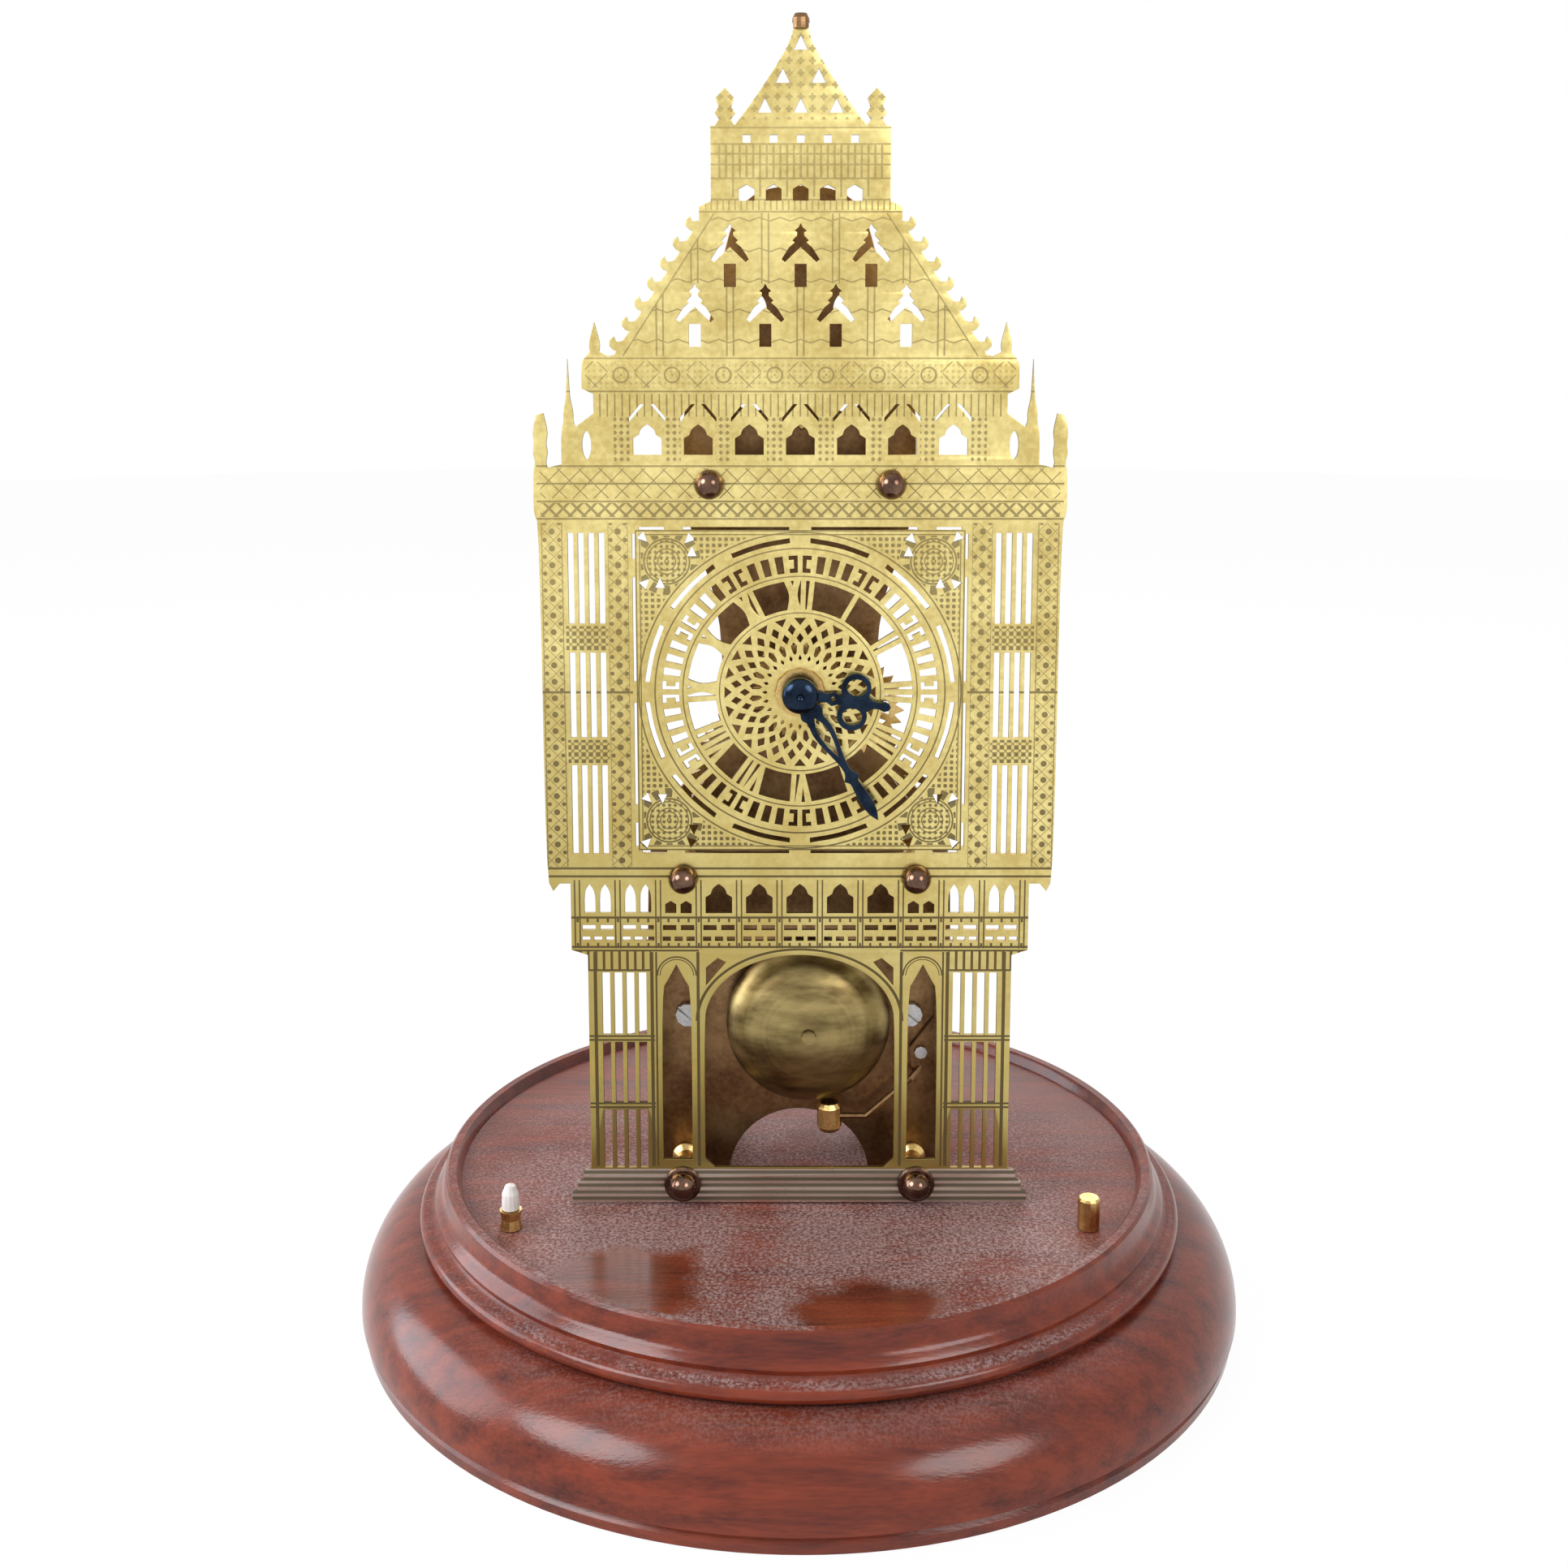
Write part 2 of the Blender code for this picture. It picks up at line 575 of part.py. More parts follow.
def front_outline():
    """The tower's silhouette, from the foot of the right side up to the tip, then mirrored."""
    right = scaled(PLINTH_SHARES, PLINTH_HALF, PLINTH_HEIGHT, 0, SILL_Z)
    right += [(COLUMN_HALF, PLINTH_TOP_Z), (COLUMN_HALF, ARCADE_Z - CORNICE_LIP), (ARCADE_HALF, ARCADE_Z)]
    pendant_x = DIAL_STAGE_HALF - STAGE_PENDANT_HALF
    right += [(ARCADE_HALF, STAGE_Z - CORNICE_LIP), (pendant_x - STAGE_PENDANT_HALF, STAGE_Z - CORNICE_LIP)]
    right += [(pendant_x, STAGE_Z - CORNICE_LIP - STAGE_PENDANT_DROP), (DIAL_STAGE_HALF, STAGE_Z)]
    right += [(DIAL_STAGE_HALF, CORNICE_Z - CORNICE_LIP), (TURRET_HALF, CORNICE_Z + CORNICE_LIP)]
    turret_x = TURRET_HALF - TURRET_WIDTH_HALF
    right += scaled(TURRET_SHARES, TURRET_WIDTH_HALF, TURRET_RISE, turret_x, CORNICE_Z + TURRET_FOOT_RISE)
    right += scaled(NEEDLE_SHARES, NEEDLE_HALF, NEEDLE_HEIGHT, NEEDLE_X, BELFRY_Z)
    right += [(BELFRY_HALF, BELFRY_Z + OVAL_HEIGHT * 1.6), (BELFRY_HALF, FRIEZE_Z)]
    right += [(FRIEZE_HALF, FRIEZE_Z + CORNICE_LIP), (FRIEZE_HALF, ROOF_Z - CORNICE_LIP)]
    right += scaled(PINNACLE_SHARES, CORNER_PINNACLE_HALF, CORNER_PINNACLE_HEIGHT, CORNER_PINNACLE_X, ROOF_Z)
    right += [(ROOF_FOOT_HALF, ROOF_Z)] + crockets() + [(ROOF_TOP_HALF, LANTERN_Z)]
    right += [(ROOF_TOP_HALF, LANTERN_Z + CORNICE_LIP), (LANTERN_HALF, LANTERN_Z + 2 * CORNICE_LIP)]
    right += [(LANTERN_HALF, SPIRE_Z)]
    right += scaled(BEAD_PINNACLE_SHARES, BEAD_PINNACLE_HALF, BEAD_PINNACLE_HEIGHT, BEAD_PINNACLE_X, SPIRE_Z)
    right += scaled(SPIRE_SHARES, SPIRE_FOOT_HALF, SPIRE_HEIGHT, 0, SPIRE_Z) + [(SPIRE_TIP_HALF, TIP_Z)]
    return right + [(-x, z) for x, z in reversed(right)]


def slot_group(inner, outer, tiers):
    """Narrow lights side by side between two edges, in tiers of (low, high)."""
    pitch = (outer - inner + MULLION_WIDTH) / GROUP_SLOTS
    slots = []
    for low, high in tiers:
        for i in range(GROUP_SLOTS):
            left = inner + i * pitch
            slots.append(box(left, left + pitch - MULLION_WIDTH, low, high))
    return slots


COLUMN_TIER_SHARES = ((0, 0.275), (0.3, 0.585), (0.61, 0.9))
STAGE_TIER_SHARES = ((0.066, 0.323), (0.396, 0.638), (0.713, 0.966))


def tiers(shares, foot, height):
    return [(foot + low * height, foot + high * height) for low, high in shares]


def arcade_openings():
    """Eleven bays: cusped in the middle, two lights in the outer ones, brick slots below."""
    openings = []
    sill = ARCADE_Z + BAY_SILL
    for bay in range(-5, 6):
        x = bay * BAY_PITCH
        if abs(bay) <= 2:
            openings.append(scaled(both_sides(CUSPED_SHARES), BAY_HALF, BAY_HEIGHT, x, sill))
        else:
            height = BAY_HEIGHT * (0.45 if abs(bay) == 3 else 1)
            light = (BAY_HALF - MULLION_WIDTH / 2) / 2
            for side in (-1, 1):
                middle = x + side * (light + MULLION_WIDTH / 2)
                openings.append(scaled(both_sides(LIGHT_SHARES), light, height, middle, sill))
    return openings


def numeral_strokes(hour):
    """Strokes of a Roman numeral as (inner angle, outer angle) in steps, read from the hub outwards."""
    words = {1: "I", 2: "II", 3: "III", 4: "IIII", 5: "V", 6: "VI", 7: "VII", 8: "VIII",
             9: "IX", 10: "X", 11: "XI", 12: "XII"}
    strokes, place = [], 0
    for letter in words[hour]:
        if letter == "I":
            strokes.append((place, place))
            place += 1
        else:
            width = 1.4
            strokes.append(("V" if letter == "V" else "X", place + width / 2 - 0.2, width))
            place += width + 0.4
    middle = (place - 1) / 2 if words[hour][-1] == "I" else (place - 1.4) / 2 + 0.2
    return strokes, middle


def ring_hole(inner_left, inner_right, outer_left, outer_right, waist=()):
    """A piece of the numeral ring between two strokes, as angles; waist angles bend its sides."""
    middle = (NUMERAL_INNER + NUMERAL_OUTER) / 2
    step = 2 if abs(outer_left - outer_right) < radians(9) else 3
    points = arc(NUMERAL_INNER, inner_left, inner_right, step)
    if len(waist) > 1 and waist[1] is not None:
        points.append(polar(middle, waist[1]))
    points += arc(NUMERAL_OUTER, outer_right, outer_left, step)
    if waist and waist[0] is not None:
        points.append(polar(middle, waist[0]))
    return points


def numeral_openings():
    """The open ground of the numeral ring: what the strokes of I to XII leave between them."""
    step = radians(NUMERAL_PITCH_DEGREES)
    middle_radius = (NUMERAL_INNER + NUMERAL_OUTER) / 2
    half = NUMERAL_STROKE / 2
    walls = []
    for hour in range(1, 13):
        base = pi / 2 - hour * pi / 6
        strokes, middle = numeral_strokes(hour)
        for stroke in strokes:
            if stroke[0] == "V" or stroke[0] == "X":
                place, width = stroke[1], stroke[2]
                walls.append((stroke[0], base - (place - middle) * step, width * step / 2))
            else:
                walls.append(("I", base - (stroke[0] - middle) * step, 0))
    walls.sort(key=lambda wall: -wall[1])
    openings = []
    thin_in, thin_out, thin_mid = half / NUMERAL_INNER, half / NUMERAL_OUTER, half / middle_radius
    for left, right in zip(walls, walls[1:] + [(walls[0][0], walls[0][1] - tau, walls[0][2])]):
        inner_left = left[1] - thin_in - (left[2] if left[0] == "X" else 0)
        inner_right = right[1] + thin_in + (right[2] if right[0] == "X" else 0)
        outer_left = left[1] - thin_out - left[2]
        outer_right = right[1] + thin_out + right[2]
        waist_left = left[1] - thin_mid * 1.4 if left[0] == "X" else None
        waist_right = right[1] + thin_mid * 1.4 if right[0] == "X" else None
        openings.append(ring_hole(inner_left, inner_right, outer_left, outer_right, (waist_left, waist_right)))
    for letter, angle, spread in walls:
        if letter == "I":
            continue
        foot_radius = middle_radius if letter == "X" else NUMERAL_INNER
        room = spread - 2 * thin_out
        foot = polar(foot_radius + 4 * half, angle)
        openings.append([foot, polar(NUMERAL_OUTER, angle - room), polar(NUMERAL_OUTER, angle + room)])
        if letter == "X":
            room = spread - 2 * thin_in
            foot = polar(middle_radius - 4 * half, angle)
            openings.append([foot, polar(NUMERAL_INNER, angle + room), polar(NUMERAL_INNER, angle - room)])
    return openings


def dial_openings():
    """Everything pierced in the dial, about its centre."""
    openings = numeral_openings()
    half_arc = radians((30 - ARC_SLOT_GAP_DEGREES) / 2)
    for hour in range(12):
        middle = (hour + 0.5) * pi / 6
        outer = arc(ARC_SLOT_OUTER, middle - half_arc, middle + half_arc, 3)
        openings.append(outer + arc(ARC_SLOT_INNER, middle + half_arc, middle - half_arc, 3))
    for petal in range(ROSETTE_PETALS):
        angle = tau * petal / ROSETTE_PETALS
        room = ROSETTE_ROOM_SHARE * tau / ROSETTE_PETALS
        inner, waist = ROSETTE_OUTER * 0.66, ROSETTE_OUTER * 0.86
        openings.append([polar(inner, angle), polar(waist, angle + room), polar(ROSETTE_OUTER, angle),
                         polar(waist, angle - room)])
    edge, slit = DIAL_SQUARE_HALF, DIAL_SLIT
    for low_share, high_share in ((0.06, 0.7), (0.8, 0.96)):
        low, high = edge * low_share, edge * high_share
        for side in (-1, 1):
            for flip in (-1, 1):
                across = box(*sorted((side * low, side * high)), *sorted((flip * edge, flip * (edge - slit))))
                openings.append(across)
                openings.append([(z, x) for x, z in reversed(across)])
    return [[(x, z + DIAL_Z) for x, z in opening] for opening in openings]


def roof_openings():
    """Two rows of dormers, each a gable over a little door."""
    openings = []
    upper = LANTERN_Z - ROOF_HEIGHT * 0.54
    lower = ROOF_Z + ROOF_HEIGHT * 0.055
    for row_z, places in ((upper, (-1, 0, 1)), (lower, (-1.5, -0.5, 0.5, 1.5))):
        for place in places:
            x = place * DORMER_PITCH
            openings.append(box(x - DOOR_HALF, x + DOOR_HALF, row_z, row_z + DOOR_HEIGHT))
            openings.append(scaled(GABLE_SHARES, DORMER_HALF, DORMER_HEIGHT, x, row_z + DOOR_HEIGHT))
    return openings


def front_openings():
    """Everything pierced in the front sheet."""
    openings = dial_openings() + arcade_openings() + roof_openings()
    rise = BIG_ARCH_RISE
    spring = ARCADE_Z - BIG_ARCH_TOP_MARGIN - rise
    head = [(BIG_ARCH_HALF * cos(a), spring + rise * sin(a)) for a in [pi * i / 12 for i in range(13)]]
    foot = [(-BIG_ARCH_HALF, PLINTH_TOP_Z + SILL_CORNER), (SILL_CORNER - BIG_ARCH_HALF, PLINTH_TOP_Z)]
    openings.append(head + foot + [(-x, z) for x, z in reversed(foot)])
    lancet_half = (LANCET_OUTER - MULLION_OUTER) / 2
    lancet_x = (LANCET_OUTER + MULLION_OUTER) / 2
    lancet_height = COLUMN_HEIGHT - LANCET_TOP_MARGIN
    sides = [scaled(both_sides(LANCET_SHARES), lancet_half, lancet_height, lancet_x, PLINTH_TOP_Z)]
    sides += slot_group(COLUMN_GROUP_INNER, COLUMN_GROUP_OUTER,
                        tiers(COLUMN_TIER_SHARES, PLINTH_TOP_Z, COLUMN_HEIGHT))
    sides += slot_group(STAGE_GROUP_INNER, STAGE_GROUP_OUTER,
                        tiers(STAGE_TIER_SHARES, STAGE_Z, DIAL_STAGE_HEIGHT))
    sides.append([(OVAL_X + OVAL_HALF * cos(a), BELFRY_Z + OVAL_HEIGHT * (0.62 + 0.5 * sin(a)))
                  for a in [tau * i / 8 for i in range(8)]])
    shoulder = [(BIG_ARCH_HALF * 0.98, spring + rise * 0.5), (BIG_ARCH_HALF * 0.98, spring + rise * 0.8),
                (BIG_ARCH_HALF * 0.85, spring + rise * 0.95), (BIG_ARCH_HALF * 0.75, spring + rise * 0.88)]
    sides.append(shoulder)
    openings += mirrored(sides)
    for window in range(-3, 4):
        x = window * WINDOW_PITCH
        openings.append(scaled(both_sides(CUSPED_SHARES), WINDOW_HALF, WINDOW_HEIGHT, x, BELFRY_Z + WINDOW_SILL))
    for place in range(-2, 3):
        x = place * LANTERN_ARCH_PITCH
        openings.append(scaled(both_sides(LIGHT_SHARES), LANTERN_ARCH_HALF, LANTERN_ARCH_HEIGHT, x,
                               LANTERN_Z + 2 * CORNICE_LIP))
    for row, count in ((0.13, 2), (0.42, 1), (0.74, 0)):
        for place in range(-count, count + 1, 2) if count else (0,):
            x, z = place * SPIRE_FOOT_HALF * 0.27, SPIRE_Z + row * SPIRE_HEIGHT
            half = SPIRE_FOOT_HALF * 0.13
            openings.append([(x - half, z), (x + half, z), (x, z + 2 * half)])
    hole = STUD_RADIUS + CLEARANCE
    openings += [circle(hole, place, 8) for place in POST_PLACES.values()]
    openings.append(circle(BUSH_SLEEVE_RADIUS + CLEARANCE, (0, DIAL_Z), 12))
    return openings


def toothed(teeth, module, phase=0.0, centre=(0, 0), leaf=False):
    """Gear outline: wide pointed teeth on a wheel, narrow flat-topped leaves on a pinion.

    The phase is the direction of the middle of one tooth.
    """
    pitch_radius = teeth * module / 2
    root = pitch_radius - (1.35 if leaf else 1.6) * module
    pitch = tau / teeth
    points = []
    for tooth in range(teeth):
        middle = phase + tooth * pitch
        if leaf:
            tip = pitch_radius + 0.7 * module
            shape = ((root, -0.17), (tip, -0.1), (tip, 0.1), (root, 0.17))
        else:
            shape = ((root, -0.5), (pitch_radius + 0.9 * module, 0))
        points += [polar(radius, middle + share * pitch, centre) for radius, share in shape]
    return points


def crossings(inner, outer, arms, arm_width, centre=(0, 0), phase=0.0):
    """The openings between a wheel's arms."""
    holes = []
    for i in range(arms):
        left = phase + tau * i / arms
        right = left + tau / arms
        inner_room, outer_room = arm_width / 2 / inner, arm_width / 2 / outer
        hole = arc(inner, left + inner_room, right - inner_room, 3, centre)
        holes.append(hole + arc(outer, right - outer_room, left + outer_room, 4, centre))
    return holes


def wheel(name, teeth, module, front_y, centre, phase, arbor=None, bore=0):
    """A crossed-out wheel, either bored for its arbor or riveted to it as one piece."""
    rim = teeth * module / 2 - 3 * module
    outlines = [toothed(teeth, module, phase, centre)]
    outlines += crossings(WHEEL_HUB_RADIUS, rim, WHEEL_ARMS, WHEEL_ARM_WIDTH, centre, phase)
    if bore:
        outlines.append(circle(bore, centre, 8))
    blank = sheet(name, outlines, WHEEL_THICKNESS, front_y, "brass", centre)
    return united(name, [blank, arbor], "brass") if arbor else blank


def pinion_arbor(name, radius, leaves, module, pinion_front, centre, phase):
    """A steel arbor turned down to a pivot at each end, with a pinion cut on it."""
    inside, outside = FRONT_PLATE_BACK_Y + CLEARANCE, BACK_PLATE_Y - CLEARANCE
    profile = [(0, FRONT_PLATE_Y), (PIVOT_RADIUS, FRONT_PLATE_Y), (PIVOT_RADIUS, inside), (radius, inside),
               (radius, outside), (PIVOT_RADIUS, outside), (PIVOT_RADIUS, BACK_PLATE_BACK_Y), (0, BACK_PLATE_BACK_Y)]
    arbor = turned(name, profile, "steel", centre, 6)
    if not leaves:
        return arbor
    pinion = sheet(name + "_leaves", [toothed(leaves, module, phase, centre, leaf=True)], PINION_LENGTH,
                   pinion_front, "steel", centre)
    return united(name, [pinion, arbor], "steel")


def centre_distance(teeth, leaves, module):
    return (teeth + leaves) * module / 2


DIAL_CENTRE = (0, DIAL_Z)
THIRD_ANGLE = radians(THIRD_DIRECTION_DEGREES)
FOURTH_ANGLE = radians(FOURTH_DIRECTION_DEGREES)
ESCAPE_ANGLE = radians(ESCAPE_DIRECTION_DEGREES)
BARREL_CENTRE = towards(DIAL_CENTRE, centre_distance(GREAT_TEETH, CENTRE_PINION_LEAVES, GREAT_MODULE), -pi / 2)
THIRD_CENTRE = towards(DIAL_CENTRE, centre_distance(CENTRE_TEETH, THIRD_PINION_LEAVES, CENTRE_MODULE), THIRD_ANGLE)
FOURTH_CENTRE = towards(THIRD_CENTRE, centre_distance(THIRD_TEETH, FOURTH_PINION_LEAVES, THIRD_MODULE), FOURTH_ANGLE)
ESCAPE_CENTRE = towards(FOURTH_CENTRE, centre_distance(FOURTH_TEETH, ESCAPE_PINION_LEAVES, FOURTH_MODULE),
                        ESCAPE_ANGLE)
PALLET_CENTRE = towards(ESCAPE_CENTRE, PALLET_DISTANCE, pi / 2)
BALANCE_CENTRE = towards(PALLET_CENTRE, BALANCE_DISTANCE, pi / 2)
MOTION_DISTANCE = centre_distance(MINUTE_WHEEL_TEETH, CANNON_LEAVES, MOTION_MODULE)
HOUR_MODULE = 2 * MOTION_DISTANCE / (HOUR_WHEEL_TEETH + HOUR_PINION_LEAVES)
MOTION_ANGLE = radians(MOTION_DIRECTION_DEGREES)
MINUTE_WHEEL_CENTRE = towards(DIAL_CENTRE, MOTION_DISTANCE, MOTION_ANGLE)
BELL_CENTRE = (BELL_X, BELL_Z)
HAMMER_PIVOT = (HAMMER_PIVOT_X, PLINTH_TOP_Z + HAMMER_PIVOT_RISE)
PIVOT_HOLE = PIVOT_RADIUS + CLEARANCE


def depth_y(depth):
    return FRONT_PLATE_BACK_Y + depth


def make_base():
    """Turned mahogany: recessed floor, raised rim, cove, bead, broad ogee and a thin foot."""
    foot, bead_low = BASE_FOOT_HEIGHT, BASE_FOOT_HEIGHT + BASE_OGEE_HEIGHT
    bead_high = bead_low + BASE_BEAD_HEIGHT
    bead_half = BASE_BEAD_HEIGHT / 2
    fillet = BASE_FILLET
    profile = [(0, FLOOR_Z), (BASE_RIM_INNER_RADIUS - fillet, FLOOR_Z),
               (BASE_RIM_INNER_RADIUS, BASE_RIM_Z - fillet), (BASE_RIM_INNER_RADIUS + fillet, BASE_RIM_Z),
               (BASE_RIM_OUTER_RADIUS - fillet, BASE_RIM_Z), (BASE_RIM_OUTER_RADIUS, BASE_RIM_Z - fillet)]
    cove_width = BASE_BEAD_RADIUS - bead_half - BASE_RIM_OUTER_RADIUS
    for share in (0.4, 0.75):
        profile.append((BASE_RIM_OUTER_RADIUS + cove_width * (1 - cos(share * pi / 2)),
                        BASE_RIM_Z - BASE_COVE_HEIGHT * sin(share * pi / 2)))
    for angle in (90, 30, -30, -90):
        profile.append((BASE_BEAD_RADIUS - bead_half + bead_half * cos(radians(angle)),
                        bead_low + bead_half + bead_half * sin(radians(angle))))
    ogee_foot = foot + 2 * fillet
    width = BASE_RADIUS - (BASE_BEAD_RADIUS - bead_half - fillet)
    for angle in (90, 66, 44, 22, 0):
        profile.append((BASE_RADIUS - width * (1 - cos(radians(angle))),
                        ogee_foot + (bead_low - fillet - ogee_foot) * sin(radians(angle))))
    profile += [(BASE_RADIUS - 2 * fillet, foot), (BASE_RADIUS - fillet, foot - fillet),
                (BASE_RADIUS - 2 * fillet, 0), (0, 0)]
    base = turned("base", profile, "mahogany", segments=BASE_SEGMENTS)
    cutters = []
    for x, y in PEG_PLACES:
        cutters.append(upright_rod("peg_hole", PEG_SHANK_RADIUS + CLEARANCE, FLOOR_Z - PEG_SINK, FLOOR_Z + OVERRUN,
                                   x, y))
    for side in (-1, 1):
        for radius, high in ((BASE_BOLT_HEAD_RADIUS + 2 * CLEARANCE, BASE_BOLT_SINK),
                             (BASE_BOLT_RADIUS + CLEARANCE, FLOOR_Z + OVERRUN)):
            cutters.append(upright_rod("bolt_hole", radius, -OVERRUN, high, side * LOWER_POST_X, BOLT_Y))
    return combine("DIFFERENCE", base, cutters, "mahogany")


PEG_PLACES = [(side * PEG_CIRCLE_RADIUS * cos(radians(PEG_DIRECTION_DEGREES)),
               -PEG_CIRCLE_RADIUS * sin(radians(PEG_DIRECTION_DEGREES))) for side in (-1, 1)]


def upright_rod(name, radius, low, high, x, y, segments=8):
    mesh = bpy.data.meshes.new(name)
    shape = bmesh.new()
    bmesh.ops.create_cone(shape, cap_ends=True, segments=segments, radius1=radius, radius2=radius, depth=high - low)
    bmesh.ops.translate(shape, verts=shape.verts, vec=(x, y, (high + low) / 2))
    shape.to_mesh(mesh)
    shape.free()
    cutter = bpy.data.objects.new(name, mesh)
    CUTTERS.objects.link(cutter)
    cutter.hide_render = True
    cutter.display_type = "WIRE"
    return cutter


def block(name, size, middle, finish, bevel=0.0, turn=0.0):
    """A small block with rounded edges, turned about Y."""
    mesh = bpy.data.meshes.new(name)
    shape = bmesh.new()
    bmesh.ops.create_cube(shape, size=1)
    bmesh.ops.scale(shape, verts=shape.verts, vec=size)
    if bevel:
        bmesh.ops.bevel(shape, geom=shape.edges, offset=bevel, affect="EDGES", segments=1, profile=0.5, material=-1)
    shape.to_mesh(mesh)
    shape.free()
    return put(name, mesh, finish, middle, (0, turn, 0))


def make_front():
    """The pierced sheet, with its posts behind and domed nuts in front; the lower nuts have a washer face."""
    sheet("front_sheet", [front_outline()] + front_openings(), SHEET_THICKNESS, SHEET_FRONT_Y, "gilt")
    for name, place in POST_PLACES.items():
        make_post("post_" + name, place)
        make_nut("nut_" + name, place, "lower" in name)


def make_post(name, place):
    """A turned post with a stud through the front sheet and a tenon through the front plate."""
    front, back = SHEET_BACK_Y + CLEARANCE, FRONT_PLATE_Y - CLEARANCE
    tenon, collar = SCREW_SHANK_RADIUS, POST_COLLAR_RADIUS
    return turned(name, [(0, STUD_END_Y), (STUD_RADIUS, STUD_END_Y), (STUD_RADIUS, front), (collar, front),
                         (POST_RADIUS, front + collar / 2), (POST_RADIUS, back - collar), (collar, back), (tenon, back),
                         (tenon, FRONT_PLATE_BACK_Y), (0, FRONT_PLATE_BACK_Y)], "brass", place, 6)


def make_nut(name, place, washer):
    """A domed nut, hollow for the end of the stud."""
    bore, seat = STUD_RADIUS + CLEARANCE, SHEET_FRONT_Y - CLEARANCE
    depth = STUD_END_Y - CLEARANCE
    high = seat - (WASHER_THICKNESS if washer else 0)
    profile = [(NUT_RADIUS * sin(radians(a)), high - NUT_HEIGHT * cos(radians(a))) for a in DOME_DEGREES]
    profile.append((NUT_RADIUS, high))
    if washer:
        profile += [(WASHER_RADIUS, high), (WASHER_RADIUS, seat)]
    return turned(name, profile + [(bore, seat), (bore, depth), (0, depth)], "dark_brass", place, 8)



def plate_outline():
    """Half of the movement plate, from the foot arch outwards and up, then mirrored."""
    foot = FLOOR_Z + CLEARANCE
    arch = [(FOOT_ARCH_RADIUS * sin(a), foot + FOOT_ARCH_RADIUS * cos(a)) for a in
            [pi / 2 * i / 4 for i in range(5)]]
    shoulder = ARCADE_Z - PLINTH_TOP_Z
    step = PLATE_STEP
    right = arch + [(PLATE_FOOT_HALF, foot), (PLATE_FOOT_HALF, PLINTH_TOP_Z + shoulder * 0.2),
                    (PLATE_BODY_HALF, PLINTH_TOP_Z + shoulder * 0.3), (PLATE_BODY_HALF, STAGE_Z + step),
                    (PLATE_BODY_HALF - step, STAGE_Z + 2 * step)]
    waist_low, waist_high = DIAL_Z - 4 * step, DIAL_Z + 5 * step
    for share in (0.35, 0.75, 1):
        right.append((PLATE_WAIST_HALF + (PLATE_BODY_HALF - step - PLATE_WAIST_HALF) * (1 - sin(share * pi / 2)),
                      STAGE_Z + 2 * step + (waist_low - STAGE_Z - 2 * step) * share))
    right += [(PLATE_WAIST_HALF, waist_high), (PLATE_HEAD_HALF, TOP_POST_Z - 3 * step),
              (PLATE_HEAD_HALF, FRIEZE_Z), (PLATE_HEAD_HALF - step, FRIEZE_Z + step),
              (PLATE_TOP_HALF + step, LANTERN_Z - step), (PLATE_TOP_HALF, LANTERN_Z + step),
              (PLATE_TOP_HALF / 2, LANTERN_Z + 2 * step)]
    return right + [(-x, z) for x, z in reversed(right) if x]


def plate_holes(front):
    """Pivot and fixing holes, and the round windows that lighten the plate."""
    holes = [circle(PIVOT_HOLE, centre, 6) for centre in
             (THIRD_CENTRE, FOURTH_CENTRE, ESCAPE_CENTRE, PALLET_CENTRE, BALANCE_CENTRE)]
    fixing = SCREW_SHANK_RADIUS + CLEARANCE
    middle = [place for name, place in POST_PLACES.items() if "middle" in name] if front else []
    holes += [circle(fixing, place, 8) for place in [*PILLAR_PLACES.values(), *middle]]
    barrel = BARREL_PIVOT_RADIUS if front else BARREL_ARBOR_RADIUS
    holes.append(circle(barrel + CLEARANCE, BARREL_CENTRE, 10))
    centre = CENTRE_ARBOR_RADIUS if front else PIVOT_RADIUS
    holes.append(circle(centre + CLEARANCE, DIAL_CENTRE, 8))
    if front:
        holes.append(circle(BELL_TENON_RADIUS + CLEARANCE, BELL_CENTRE, 8))
        holes.append(circle(STUD_SHANK + CLEARANCE, MINUTE_WHEEL_CENTRE, 8))
        holes.append(circle(STUD_SHANK + CLEARANCE, HAMMER_PIVOT, 8))
    else:
        holes.append(circle(STUD_SHANK + CLEARANCE, CLICK_CENTRE, 8))
    window = PLATE_WINDOW
    for x, z in ((0, ROOF_Z + window), (WINDOW_PITCH, FRIEZE_Z - window * 0.4),
                 (DORMER_PITCH * 0.75, ROOF_Z + 2 * window)):
        holes += [circle(window * 0.8, (side * x, z), 8) for side in ((-1, 1) if x else (1,))]
    return holes



def make_plates():
    sheet("front_plate", [plate_outline()] + plate_holes(True), PLATE_THICKNESS, FRONT_PLATE_Y, "brass")
    sheet("back_plate", [plate_outline()] + plate_holes(False), PLATE_THICKNESS, BACK_PLATE_Y, "brass")
    for name, place in PILLAR_PLACES.items():
        make_pillar("pillar_" + name, place, "lower" in name)
        if "middle" in name:
            make_screw("plate_screw_" + name.removeprefix("middle_"), place)
    for side, sign in SIDES.items():
        make_bolt("base_bolt_" + side, sign * LOWER_POST_X)


